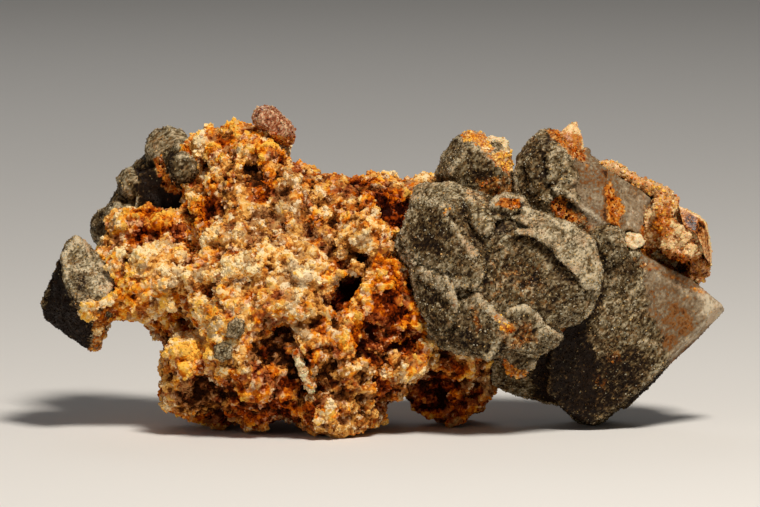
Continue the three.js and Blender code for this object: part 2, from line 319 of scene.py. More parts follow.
def combine(obj, tool, operation):
    """Joins a tool to a stone (UNION) or takes it away (DIFFERENCE), and removes the tool."""
    apply(obj, "BOOLEAN", object=tool, operation=operation, solver="EXACT")
    if not obj.data.vertices:
        raise RuntimeError(f"{obj.name}: nothing left of it")
    mesh = tool.data
    bpy.data.objects.remove(tool)
    bpy.data.meshes.remove(mesh)


def hidden(node, place, depth_mm):
    """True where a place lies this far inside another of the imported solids."""
    inside = np.zeros(len(place), bool)
    for name, solid in frame["nodes"].items():
        if name == node:
            continue
        corners = np.array([list(corner) for corner in solid.bound_box]) / MM
        near = np.all((place > corners.min(0)) & (place < corners.max(0)), axis=1) & ~inside
        faces = [tuple(face.vertices) for face in solid.data.polygons]
        finder = BVHTree.FromPolygons([corner.co for corner in solid.data.vertices], faces)
        for number in np.flatnonzero(near):
            point = Vector(place[number]) * MM
            surface, normal, _, _ = finder.find_nearest(point)
            if (point - surface).dot(normal) < -depth_mm * MM:
                inside[number] = True
    return inside


def settle(obj):
    """Flattens what reaches below the ground."""
    place = corners_of(obj)
    place[:, 2] = np.maximum(place[:, 2], 0)
    move_corners(obj, place)


# ------------------------------------------------------------------ node helpers


def add(tree, kind, inputs=None, **settings):
    """Adds a node, sets it, and fills its inputs with values or with other nodes' outputs."""
    node = tree.nodes.new(kind)
    for key, value in settings.items():
        setattr(node, key, value)
    for key, value in (inputs or {}).items():
        socket = node.inputs[key]
        if isinstance(value, bpy.types.NodeSocket):
            tree.links.new(value, socket)
        else:
            socket.default_value = value
    return node


def live(sockets, kind=None):
    """The sockets that a node shows, or those of one type."""
    return [socket for socket in sockets if socket.enabled and kind in (None, socket.type)]


def calc(tree, operation, a, b=0.0):
    """One arithmetic step on numbers."""
    return add(tree, "ShaderNodeMath", {0: a, 1: b}, operation=operation).outputs[0]


def total(tree, *values):
    """Adds numbers up."""
    return reduce(lambda a, b: calc(tree, "ADD", a, b), values)


def product(tree, *values):
    """Multiplies numbers."""
    return reduce(lambda a, b: calc(tree, "MULTIPLY", a, b), values)


def stretch(tree, value, low, high, to_low=0.0, to_high=1.0, smooth=False):
    """Maps low..high to to_low..to_high, and clamps."""
    node = add(
        tree,
        "ShaderNodeMapRange",
        {"Value": value, "From Min": low, "From Max": high, "To Min": to_low, "To Max": to_high},
        interpolation_type="SMOOTHSTEP" if smooth else "LINEAR",
    )
    return node.outputs["Result"]


def vector(tree, operation, a, b=None, scale=None):
    """One arithmetic step on vectors."""
    inputs = {0: a}
    if b is not None:
        inputs[1] = b
    if scale is not None:
        inputs["Scale"] = scale
    node = add(tree, "ShaderNodeVectorMath", inputs, operation=operation)
    return node.outputs["Value" if operation == "DOT_PRODUCT" else "Vector"]


def noise(tree, place, size_mm, detail, rough, seed):
    """Cloudy noise with features of about this size, from 0 to 1."""
    inputs = {"Vector": place, "W": seed, "Scale": 1 / (size_mm * MM)}
    inputs.update({"Detail": detail, "Roughness": rough})
    return add(tree, "ShaderNodeTexNoise", inputs, noise_dimensions="4D").outputs[0]


def cells(tree, place, size_mm, seed, output):
    """One output of a pattern of cells of about this size."""
    inputs = {"Vector": place, "W": seed, "Scale": 1 / (size_mm * MM), "Randomness": 1.0}
    return add(tree, "ShaderNodeTexVoronoi", inputs, voronoi_dimensions="4D").outputs[output]


def warp(tree, place, size_mm, reach_mm):
    """Places pushed about by smooth noise, so that a pattern on them loses its order."""
    inputs = {"Vector": place, "Scale": 1 / (size_mm * MM), "Detail": 2.0}
    drift = add(tree, "ShaderNodeTexNoise", inputs).outputs["Color"]
    drift = vector(tree, "SUBTRACT", drift, (0.5, 0.5, 0.5))
    return vector(tree, "ADD", place, vector(tree, "SCALE", drift, scale=reach_mm * MM))


def geometry_tree():
    """A new geometry node tree, the output that it starts from and the input that it ends in."""
    tree = bpy.data.node_groups.new("stone_nodes", "GeometryNodeTree")
    tree.interface.new_socket("Geometry", in_out="INPUT", socket_type="NodeSocketGeometry")
    tree.interface.new_socket("Geometry", in_out="OUTPUT", socket_type="NodeSocketGeometry")
    start = tree.nodes.new("NodeGroupInput")
    end = tree.nodes.new("NodeGroupOutput")
    return tree, start.outputs[0], end.inputs[0]


def run(obj, tree, result, end):
    """Ends a geometry node tree in its result, applies it to an object, and removes it."""
    tree.links.new(result, end)
    apply(obj, "NODES", node_group=tree)
    bpy.data.node_groups.remove(tree)


def named(tree, name):
    """Reads a painted number of the mesh."""
    node = add(tree, "GeometryNodeInputNamedAttribute", {"Name": name}, data_type="FLOAT")
    return node.outputs["Attribute"]


def store(tree, geometry, name, value, domain="POINT"):
    """Paints a number on the geometry."""
    node = add(
        tree,
        "GeometryNodeStoreNamedAttribute",
        {"Geometry": geometry, "Name": name},
        data_type="FLOAT",
        domain=domain,
    )
    tree.links.new(value, live(node.inputs, "VALUE")[0])
    return node.outputs[0]


def random_value(tree, seed, *limits):
    """A random number from 0 to 1, or a random vector between two limits."""
    kind = "FLOAT_VECTOR" if limits else "FLOAT"
    node = add(tree, "FunctionNodeRandomValue", {"Seed": seed}, data_type=kind)
    for socket, limit in zip(live(node.inputs, "VECTOR"), limits):
        socket.default_value = limit
    return live(node.outputs)[0]


# ------------------------------------------------------------------ shaping with nodes


def relief(obj, layers, warp_mm, by_druse=False):
    """Roughens a stone along its normals.

    A layer is (pattern, size_mm, height_mm, seed). Domes are rounded nodules, pits are hollows,
    ridges are winding crests, steps are flat ledges, and clouds are soft noise. With by_druse,
    faces with no druse are left flatter.
    """
    tree, geometry, end = geometry_tree()
    place = warp(tree, add(tree, "GeometryNodeInputPosition").outputs[0], 3.0, 2 * warp_mm)
    heights = []
    for pattern, size, height, seed in layers:
        if pattern == "domes":
            away = cells(tree, place, size, seed, "Distance")
            value = calc(tree, "SUBTRACT", 0.75, product(tree, away, away))
        elif pattern == "pits":
            cloud = noise(tree, place, size, 2.0, 0.5, seed)
            value = stretch(tree, cloud, 0.56, 0.72, 0.0, -1.0, smooth=True)
        elif pattern == "ridges":
            cloud = noise(tree, place, size, 3.0, 0.5, seed)
            fold = calc(tree, "ABSOLUTE", calc(tree, "SUBTRACT", cloud, 0.5))
            value = stretch(tree, fold, 0.0, 0.16, 0.5, -0.5)
        elif pattern == "steps":
            cloud = product(tree, noise(tree, place, size, 2.0, 0.5, seed), LEDGES)
            rise = stretch(tree, calc(tree, "FRACT", cloud), 0.8, 1.0, smooth=True)
            value = total(tree, calc(tree, "FLOOR", cloud), rise)
            value = calc(tree, "SUBTRACT", calc(tree, "DIVIDE", value, LEDGES), 0.43)
        else:
            value = calc(tree, "SUBTRACT", noise(tree, place, size, 4.0, 0.55, seed), 0.5)
        heights.append(product(tree, value, height * MM))
    height = total(tree, *heights)
    if by_druse:
        druse = named(tree, "druse")
        height = product(tree, height, stretch(tree, druse, 0.0, 1.0, BARE_SHARE, 1.0))
        height = total(tree, height, product(tree, druse, DRUSE_LIFT * MM))
    offset = vector(tree, "SCALE", add(tree, "GeometryNodeInputNormal").outputs[0], scale=height)
    moved = add(tree, "GeometryNodeSetPosition", {"Geometry": geometry, "Offset": offset})
    run(obj, tree, moved.outputs[0], end)


def hollow(obj, label, reach):
    """Paints how far, in mm, each place lies below its surroundings, blurred over a reach."""
    tree, geometry, end = geometry_tree()
    place = add(tree, "GeometryNodeInputPosition").outputs[0]
    blurred = add(
        tree, "GeometryNodeBlurAttribute", {"Iterations": reach}, data_type="FLOAT_VECTOR"
    )
    tree.links.new(place, live(blurred.inputs, "VECTOR")[0])
    gap = vector(tree, "SUBTRACT", live(blurred.outputs, "VECTOR")[0], place)
    normal = add(tree, "GeometryNodeInputNormal").outputs[0]
    depth = calc(tree, "DIVIDE", vector(tree, "DOT_PRODUCT", gap, normal), MM)
    run(obj, tree, store(tree, geometry, label, depth), end)


def scatter(
    obj, grains, per_mm2, size, where, seed, keep_base=True, least=0.35, tilt=0.6, fewer_large=2.0
):
    """Crusts a stone with grains picked from a hidden collection.

    where is the painted number that thins the grains out, size the width of the largest, and
    least the smallest as a share of it. tilt is how far they lean, in radians, and a higher
    fewer_large makes large ones rarer.
    """
    tree, geometry, end = geometry_tree()
    density = product(tree, named(tree, where), per_mm2 / MM**2)
    points = add(
        tree,
        "GeometryNodeDistributePointsOnFaces",
        {"Mesh": geometry, "Density": density, "Seed": seed},
        distribute_method="RANDOM",
    )
    power = calc(tree, "POWER", random_value(tree, seed + 1), fewer_large)
    scale = stretch(tree, power, 0.0, 1.0, size * least, size)
    widths = random_value(tree, seed + 2, (0.7, 0.7, 0.7), (1.25, 1.25, 1.25))
    lean = random_value(tree, seed + 3, (-tilt, -tilt, -math.pi), (tilt, tilt, math.pi))
    turned = add(
        tree,
        "FunctionNodeRotateRotation",
        {"Rotation": points.outputs["Rotation"], "Rotate By": lean},
        rotation_space="LOCAL",
    )
    chosen = add(
        tree,
        "GeometryNodeCollectionInfo",
        {
            "Collection": bpy.data.collections[grains],
            "Separate Children": True,
            "Reset Children": True,
        },
    )
    placed = add(
        tree,
        "GeometryNodeInstanceOnPoints",
        {
            "Points": points.outputs["Points"],
            "Instance": chosen.outputs[0],
            "Pick Instance": True,
            "Rotation": turned.outputs[0],
            "Scale": vector(tree, "SCALE", widths, scale=scale),
        },
    )
    tinted = store(tree, placed.outputs[0], "grain", random_value(tree, seed + 4), "INSTANCE")
    result = add(tree, "GeometryNodeRealizeInstances", {"Geometry": tinted}).outputs[0]
    if keep_base:
        joined = add(tree, "GeometryNodeJoinGeometry")
        for part in (result, geometry):
            tree.links.new(part, joined.inputs[0])
        result = joined.outputs[0]
    run(obj, tree, result, end)


# ------------------------------------------------------------------ grains to scatter


def grain_collection(name, maker, count):
    """A hidden collection of small stones, each 1 metre wide so that a scale is a width."""
    group = bpy.data.collections.new(name)
    for number in range(count):
        bpy.ops.object.select_all(action="DESELECT")
        maker(number)
        grain = bpy.context.active_object
        grain.name = f"{name}_{number}"
        only(grain)
        bpy.ops.object.transform_apply(location=True, rotation=True, scale=True)
        group.objects.link(grain)
        for other in list(grain.users_collection):
            if other is not group:
                other.objects.unlink(grain)


def clear_collection(name):
    """Removes the stones of a hidden collection, and the collection."""
    group = bpy.data.collections[name]
    for obj in list(group.objects):
        mesh = obj.data
        bpy.data.objects.remove(obj)
        bpy.data.meshes.remove(mesh)
    bpy.data.collections.remove(group)


def druse_point(number):
    """A tiny pyramid, a little out of true, with its foot below the surface it stands on."""
    bpy.ops.mesh.primitive_cone_add(
        vertices=3 + number % 2, radius1=0.62, radius2=0.0, depth=0.8, location=(0, 0, 0.18)
    )
    bpy.context.active_object.scale = (1.0, 0.85, 1.0)
    roughen(0.10, number + 1)


def crumb(number):
    """A rough grain."""
    if number % 2:
        bpy.ops.mesh.primitive_cube_add(size=0.75)
    else:
        bpy.ops.mesh.primitive_uv_sphere_add(segments=5, ring_count=2, radius=0.54)
    roughen(0.2, number + 11)


def nodule(number):
    """An uneven knob."""
    bpy.ops.mesh.primitive_ico_sphere_add(subdivisions=1, radius=0.54)
    bpy.context.active_object.scale = (1.2, 0.8, 0.7 + 0.1 * number)
    roughen(0.26, number + 21)


def roughen(amount, seed):
    """Moves the corners of the mesh just added at random."""
    bpy.ops.object.mode_set(mode="EDIT")
    bpy.ops.mesh.select_all(action="SELECT")
    bpy.ops.transform.vertex_random(offset=amount, seed=seed)
    bpy.ops.object.mode_set(mode="OBJECT")


# ------------------------------------------------------------------ materials


def shader(name):
    """A new material's tree, its shader and its object coordinates."""
    material = bpy.data.materials.new(f"{name}_finish")
    material.use_nodes = True
    tree = material.node_tree
    return (
        tree,
        tree.nodes["Principled BSDF"],
        add(tree, "ShaderNodeTexCoord").outputs["Object"],
    )


def painted(tree, name, times=1):
    """Reads a painted number in a material, and multiplies it."""
    number = add(tree, "ShaderNodeAttribute", attribute_name=name).outputs["Fac"]
    return number if times == 1 else product(tree, number, times)


def ramp(tree, value, stops):
    """A colour ramp with (position, colour) stops."""
    node = add(tree, "ShaderNodeValToRGB", {"Fac": value})
    colours = node.color_ramp
    colours.elements[0].position = stops[0][0]
    colours.elements[-1].position = stops[-1][0]
    for position, _ in stops[1:-1]:
        colours.elements.new(position)
    for element, (_, colour) in zip(colours.elements, stops):
        element.color = (*colour, 1)
    return node.outputs["Color"]


def blend(tree, share, a, b, mode="MIX"):
    """Mixes two colours."""
    node = add(tree, "ShaderNodeMix", data_type="RGBA", blend_type=mode)
    for socket, value in zip(live(node.inputs), (share, a, b)):
        if isinstance(value, bpy.types.NodeSocket):
            tree.links.new(value, socket)
        else:
            socket.default_value = (*value, 1)
    return live(node.outputs)[0]


def connect(tree, bsdf, colour, gloss, grit):
    """Connects a finish's colour, gloss and fine relief."""
    tree.links.new(colour, bsdf.inputs["Base Color"])
    bsdf.inputs["Specular IOR Level"].default_value = gloss
    inputs = {"Height": grit, "Distance": FINE_RELIEF * MM, "Strength": 1.0}
    tree.links.new(add(tree, "ShaderNodeBump", inputs).outputs[0], bsdf.inputs["Normal"])


def around(tree, value, width):
    """A 0 to 1 pattern turned into one that swings by width about zero."""
    return product(tree, calc(tree, "SUBTRACT", value, 0.5), width)


def gossan_material():
    """Quartz stained by iron: cream where it is clean, through orange to dark red-brown."""
    settings = bpy.context.scene.stones
    tree, bsdf, place = shader("gossan")
    warped = warp(tree, place, 0.8, 0.5)
    knob, grit = (
        add(tree, "ShaderNodeSeparateColor", {"Color": cells(tree, warped, size, seed, "Color")})
        for size, seed in ((1.5, 1.0), (0.55, 2.0))
    )
    tint = painted(tree, "grain")
    tone = total(
        tree,
        0.56,
        around(tree, noise(tree, place, 6.0, 3.0, 0.6, 1.0), 0.6),
        around(tree, noise(tree, place, 1.6, 3.0, 0.6, 2.0), 0.9),
        around(tree, knob.outputs["Red"], 0.42),
        around(tree, grit.outputs["Red"], 0.18),
        around(tree, tint, 0.38),
        # shade brings painted light and shade as well as paler or darker stone; the hollow terms darken
        # recesses as painted shade
        painted(tree, "shade"),
        painted(tree, "hollow", -0.9),
        painted(tree, "deep", -0.28),
    )
    iron = total(
        tree,
        0.38,
        around(tree, noise(tree, place, 3.6, 3.0, 0.6, 4.0), 2.3),
        around(tree, knob.outputs["Blue"], 0.8),
        around(tree, noise(tree, place, 0.9, 3.0, 0.7, 5.0), 1.2),
        around(tree, grit.outputs["Blue"], 0.5),
        painted(tree, "hollow", -0.8),
        painted(tree, "stain"),
    )
    clean = ramp(
        tree,
        tone,
        [
            (0.0, (0.024, 0.006, 0.001)),
            (0.2, (0.105, 0.028, 0.004)),
            (0.4, (0.32, 0.108, 0.018)),
            (0.6, (0.65, 0.30, 0.060)),
            (0.8, tuple(settings.cream)),
            (1.0, (0.97, 0.78, 0.44)),
        ],
    )
    stained = ramp(
        tree,
        tone,
        [
            (0.0, (0.018, 0.002, 0.0003)),
            (0.2, (0.090, 0.010, 0.0005)),
            (0.4, tuple(settings.rust)),
            (0.6, (0.60, 0.125, 0.002)),
            (0.8, (0.84, 0.28, 0.008)),
            (1.0, (0.95, 0.54, 0.08)),
        ],
    )
    colour = blend(tree, stretch(tree, iron, 0.2, 0.8, 0.0, 1.0), clean, stained)
    rest = stretch(tree, iron, 0.3, 1.0, 1.0, 0.4)
    # Some knobs are cloudy grey-brown quartz, whatever their stain.
    cloudy = total(tree, knob.outputs["Green"], painted(tree, "grey"))
    cloudy = stretch(tree, cloudy, 0.72, 0.80)
    cloudy = product(tree, cloudy, stretch(tree, tone, 0.2, 0.5, 0.0, 0.6), rest)
    colour = blend(tree, cloudy, colour, (0.35, 0.175, 0.08))
    pale = stretch(tree, grit.outputs["Green"], 0.84, 0.88)
    pale = product(tree, pale, stretch(tree, tone, 0.35, 0.7, 0.0, 0.8), rest)
    colour = blend(tree, pale, colour, (0.93, 0.77, 0.50))
    tree.links.new(stretch(tree, tint, 0.0, 1.0, 0.9, 0.45), bsdf.inputs["Roughness"])
    connect(tree, bsdf, colour, 0.04, noise(tree, place, 0.22, 3.0, 0.6, 3.0))


def druse_material():
    """Grey crystal with an olive druse, and warm stains where the paint says so."""
    settings = bpy.context.scene.stones
    tree, bsdf, place = shader("druse")
    fine = noise(tree, place, 0.8, 3.0, 0.6, 12.0)
    tint = painted(tree, "grain")
    tone = total(
        tree,
        0.40,
        around(tree, noise(tree, place, 5.0, 3.0, 0.6, 11.0), 0.7),
        around(tree, fine, 0.6),
        around(tree, tint, 0.75),
        # painted glints: a few grains are made much paler
        product(tree, calc(tree, "GREATER_THAN", tint, 0.94), 0.32),
        # shade brings painted light and shade as well as paler or darker crystal; the hollow terms
        # darken recesses as painted shade
        painted(tree, "shade"),
        painted(tree, "hollow", -1.4),
        painted(tree, "deep", -0.16),
    )
    crust = ramp(
        tree,
        tone,
        [
            (0.06, (0.010, 0.004, 0.001)),
            (0.28, (0.046, 0.026, 0.008)),
            (0.50, (0.140, 0.100, 0.048)),
            (0.72, (0.290, 0.245, 0.160)),
            (1.0, (0.60, 0.51, 0.36)),
        ],
    )
    bare = ramp(
        tree,
        total(
            tree,
            0.5,
            around(tree, noise(tree, place, 2.6, 5.0, 0.7, 13.0), 1.1),
            around(tree, noise(tree, place, 0.5, 4.0, 0.7, 18.0), 1.3),
            around(tree, tint, 0.30),
            # shade brings painted light and shade to the bare faces too, as well as paler or darker
            # crystal
            painted(tree, "shade", 1.5),
        ),
        [
            (0.0, (0.040, 0.014, 0.003)),
            (0.18, (0.15, 0.052, 0.011)),
            (0.32, (0.25, 0.105, 0.028)),
            (0.44, tuple(settings.lead_grey)),
            (0.58, (0.26, 0.20, 0.132)),
            (0.78, (0.35, 0.285, 0.205)),
            (1.0, (0.60, 0.52, 0.40)),
        ],
    )
    colour = blend(tree, painted(tree, "druse"), bare, crust)
    cast = calc(tree, "FRACT", product(tree, tint, 7.3))
    warmer = stretch(tree, cast, 0.60, 0.95, 0.0, 0.9)
    cooler = stretch(tree, cast, 0.05, 0.35, 0.9, 0.0)
    colour = blend(tree, warmer, colour, (1.22, 0.92, 0.42), "MULTIPLY")
    colour = blend(tree, cooler, colour, (0.86, 0.98, 1.08), "MULTIPLY")
    olive = stretch(tree, noise(tree, place, 2.2, 4.0, 0.6, 15.0), 0.48, 0.66, 0.0, 0.5)
    colour = blend(tree, olive, colour, (0.22, 0.130, 0.040), "OVERLAY")
    dust = stretch(tree, noise(tree, place, 0.6, 3.0, 0.7, 17.0), 0.54, 0.68, 0.0, 0.55)
    dust = product(tree, dust, stretch(tree, tone, 0.12, 0.5, 0.1, 1.0))
    colour = blend(tree, dust, colour, (0.31, 0.145, 0.038))
    mottle = noise(tree, place, 0.45, 3.0, 0.7, 16.0)
    patchy = total(
        tree, painted(tree, "stain"), around(tree, fine, 1.1), around(tree, mottle, 0.9)
    )
    patchy = stretch(tree, patchy, 0.22, 0.80, 0.0, 0.94, smooth=True)
    warm = ramp(
        tree,
        total(tree, product(tree, fine, 0.7), product(tree, tint, 0.4)),
        [
            (0.25, (0.10, 0.016, 0.001)),
            (0.45, (0.40, 0.085, 0.003)),
            (0.62, (0.62, 0.22, 0.018)),
            (0.85, (0.80, 0.52, 0.20)),
        ],
    )
    colour = blend(tree, patchy, colour, warm)
    tree.links.new(stretch(tree, tint, 0.0, 1.0, 0.75, 0.4), bsdf.inputs["Roughness"])
    connect(tree, bsdf, colour, 0.14, noise(tree, place, 0.3, 3.0, 0.6, 14.0))


def quartz_material(name, low, middle, high, size=1.2):
    """Waxy to glassy quartz, from its stained to its clean colour, in clouds of this size in mm."""
    tree, bsdf, place = shader(name)
    tone = total(
        tree,
        0.55,
        around(tree, noise(tree, place, size, 5.0, 0.75, 21.0), 1.9),
        around(tree, painted(tree, "grain"), 0.7),
        # the hollow terms darken recesses as painted shade; shade brings painted light and shade as
        # well as paler or darker quartz
        painted(tree, "hollow", -1.4),
        painted(tree, "deep", -0.3),
        painted(tree, "shade"),
    )
    stops = [(0.0, (0.02, 0.005, 0.001)), (0.15, low), (0.5, middle), (0.9, high)]
    colour = ramp(tree, tone, stops)
    mottle = noise(tree, place, 0.6, 3.0, 0.7, 23.0)
    rusty = total(tree, painted(tree, "stain"), around(tree, mottle, 1.2))
    rusty = stretch(tree, rusty, 0.2, 0.8, 0.0, 0.95, smooth=True)
    warm = ramp(
        tree,
        mottle,
        [(0.3, (0.16, 0.030, 0.003)), (0.5, (0.50, 0.14, 0.010)), (0.7, (0.72, 0.36, 0.06))],
    )
    colour = blend(tree, rusty, colour, warm)
    bsdf.inputs["Roughness"].default_value = 0.3
    bsdf.inputs["Subsurface Weight"].default_value = 0.25
    bsdf.inputs["Subsurface Scale"].default_value = 0.6 * MM
    connect(tree, bsdf, colour, 0.3, noise(tree, place, 0.4, 4.0, 0.6, 22.0))


# ------------------------------------------------------------------ finishing a piece


def finish_piece(obj, slot, *nodes):
    """Gives a piece its slot's finish, and hands it to the frame in place of its solids."""
    obj.data.materials.clear()
    obj.data.materials.append(bpy.data.materials[f"{slot}_finish"])
    only(obj)
    bpy.ops.object.shade_smooth_by_angle(angle=SMOOTH_ANGLE)
    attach(obj, "root")
    if nodes:
        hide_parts(*nodes)


def seen(x, v, y):
    """The corner at depth y that shows at x, v from the show side."""
    return (x, y, v - SHOW_SLOPE * (y - SHOW_PLANE))


def pocket(*corners, lean=(0.0, 0.0)):
    """A cutter whose outline shows as drawn, each corner (x, v, depth), open at the front.

    lean shifts the bottom of the pocket, so that a wall is undercut.
    """
    front = [seen(x, v, OPEN_FRONT) for x, v, _ in corners]
    back = [seen(x + lean[0], v + lean[1], y) for x, v, y in corners]
    return prism(front, back)


def dome(tip, keep, *corners):
    """A blunt cone to add, from an outline (x, v, depth) to a tip (x, v, depth)."""
    x0, v0, near = tip
    front = [seen(x0 + keep * (x - x0), v0 + keep * (v - v0), near) for x, v, _ in corners]
    return prism(front, [seen(*corner) for corner in corners])


def slab(*corners):
    """A plate to add, each corner (x, v, front depth, back depth)."""
    front = [seen(x, v, near) for x, v, near, _ in corners]
    back = [seen(x, v, far) for x, v, _, far in corners]
    return prism(front, back)


def across(place):
    """x and v of places as they show from the show side."""
    return place[:, 0], place[:, 2] + SHOW_SLOPE * (place[:, 1] - SHOW_PLANE)


def patch(place, corners, soft=0.25, wobble=0.2, back=BACK_EDGE):
    """1 inside an outline drawn in x, v on the show side and 0 outside, with an uneven border.

    It fades out at depth back, in mm.
    """
    x, v = across(place)
    inside = np.zeros(len(place), bool)
    away = np.full(len(place), 1e3)
    for (x1, v1), (x2, v2) in zip(corners, corners[1:] + corners[:1]):
        if v1 != v2:
            inside ^= ((v1 > v) != (v2 > v)) & (x < x1 + (v - v1) * (x2 - x1) / (v2 - v1))
        dx, dv = x2 - x1, v2 - v1
        along = np.clip(((x - x1) * dx + (v - v1) * dv) / (dx * dx + dv * dv), 0, 1)
        away = np.minimum(away, np.hypot(x - x1 - along * dx, v - v1 - along * dv))
    depth = np.where(inside, away, -away) + wobble * uneven(place)
    near = 1 - ramp_step(place[:, 1] + uneven(place), back - 0.8, back + 0.8)
    return ramp_step(depth, -soft, soft) * near


def band(points, width):
    """The outline of a strip along points x, v."""
    path = np.array(points, float)
    way = np.gradient(path, axis=0)
    side = np.stack([-way[:, 1], way[:, 0]], 1) / np.linalg.norm(way, axis=1)[:, None]
    left = path + side * width / 2
    right = path - side * width / 2
    return [tuple(point) for point in (*left, *right[::-1])]


def area(*corners, **amounts):
    """What lift in mm, stain or shade a plan gives to an area of the show side."""
    return list(corners), False, amounts


def line(width, *points, **amounts):
    """What a plan gives to a strip along points x, v."""
    return band(points, width), True, amounts


def hole(*corners, lean=(0.0, 0.0)):
    """A pocket that a plan cuts."""
    return corners, lean


def patches(place, plan, kind):
    """Adds up what a plan's areas and lines give of one kind."""
    sum_of = np.zeros(len(place))
    for corners, thin, amounts in plan.get("patches", ()):
        if kind in amounts:
            soft, wobble = (0.12, 0.08) if thin else (0.4, 0.32) if kind == "shade" else (0.22, 0.26)
            share = patch(place, corners, soft, wobble, plan.get("back", BACK_EDGE))
            sum_of += amounts[kind] * share
    return sum_of


def shape(obj, plan):
    """Adds the slabs and domes of a plan to a stone, and takes its holes away."""
    if "shrink" in plan:
        shrink(obj, plan["shrink"])
    for corners in plan.get("slabs", ()):
        combine(obj, slab(*corners), "UNION")
    for corners, lean in plan.get("cuts", ()):
        combine(obj, pocket(*corners, lean=lean), "DIFFERENCE")
    for outline in plan.get("domes", ()):
        merge(obj, dome(*outline))


def mark(obj, plan, seed, fine, wide):
    """Paints how hollow and stained a stone is, its shade, which holds painted light and shade, and its
    speckle, and returns its corners.

    fine and wide are the reaches that the hollows are measured over.
    """
    hollow(obj, "hollow", fine)
    hollow(obj, "deep", wide)
    place = corners_of(obj)
    paint(obj, "stain", spots(obj, place, plan.get("stains", ())) + patches(place, plan, "stain"))
    # shade: painted light and shade from the plan's areas and lines, and paler or darker stone
    paint(obj, "shade", patches(place, plan, "shade") + plan.get("shade", 0))
    speckle(obj, seed)
    return place


def spots(obj, place, marks):
    """Adds up soft round marks of the show side, each (x, v, reach, amount) in mm."""
    sum_of = np.zeros(len(place))
    for x, v, reach, amount in marks:
        centre = np.array(show_point(obj, x, v)[0]) / MM
        away = np.linalg.norm(place - centre, axis=1) / reach
        sum_of += amount * np.exp(-(away**2))
    return sum_of


def ramp_step(value, low, high):
    """0 below low, 1 above high, and smooth between."""
    share = np.clip((value - low) / (high - low), 0, 1)
    return share * share * (3 - 2 * share)


def uneven(place):
    """A smooth, irregular number about zero that varies over a millimetre or two."""
    x, y, z = place.T
    wide = np.sin(1.7 * x + 2.3 * z + 0.6) + np.sin(2.9 * z - 1.3 * y + 2.1)
    fine = np.sin(5.1 * x - 3.3 * z + 1.4) + np.sin(6.7 * z + 4.3 * y)
    finest = np.sin(12.1 * x + 7.3 * z + 0.9) + np.sin(14.9 * z - 9.7 * x)
    return 0.5 * wide + 0.28 * fine + 0.22 * finest


def bare_lower(place):
    """Druse on the lower pyramid: none on its right-hand face."""
    x, v = across(place)
    edge = np.interp(v, [1, 8.8, 12.5, 15, 20], [37, 33.5, 32.3, 31, 30.2])
    return ramp_step(edge - x + 0.35 * uneven(place), -0.4, 0.2)


def bare_upper(place):
    """Druse on the upper pyramid: none on the two faces beside its upright edge."""
    x, v = across(place)
    edge = np.interp(v, [22, 25, 27, 30, 33, 35], [25, 24.5, 22.8, 22.3, 22.6, 23.2])
    return ramp_step(edge - x + 0.4 * uneven(place), -0.4, 0.2)


CRYSTAL_RELIEF = [
    ("steps", 5.0, 0.9, 1.0),
    ("clouds", 2.2, 0.45, 2.0),
    ("domes", 1.3, 0.18, 3.0),
    ("domes", 0.5, 0.16, 5.0),
]
FLAT_RELIEF = [
    ("steps", 4.0, 0.4, 1.0),
    ("clouds", 1.8, 0.55, 2.0),
    ("domes", 1.1, 0.22, 3.0),
    ("domes", 0.6, 0.20, 5.0),
]

# Each stone has a plan of what is done to its solid, with lengths in mm.
#
# shrink: how far its skin moves in.       slabs, domes: what is added.       cuts: what is cut.
# patches: areas and lines of the show side, which fade out at the depth back; the shade of many is
# painted light and shade.
# stains: soft round marks (x, v, reach, amount).       shade: how much paler all of it is.
# druse: a rule for where a crystal has druse.          crust: what share of the grains it gets.
# crumbs, knobs: grains (on each square mm, width).     knobby: the area that has the knobs.
# alone: the outline of a stone that has no solid of its own.
# voxel: the grid that it is remeshed on.               slot: the finish it has.

# The inner edge of the front crystal's rim.
RIM = [(15.1, 23.4), (15.9, 23.8), (17.4, 23.5), (19.4, 22.3), (21.2, 20.2), (22.9, 18.5)]

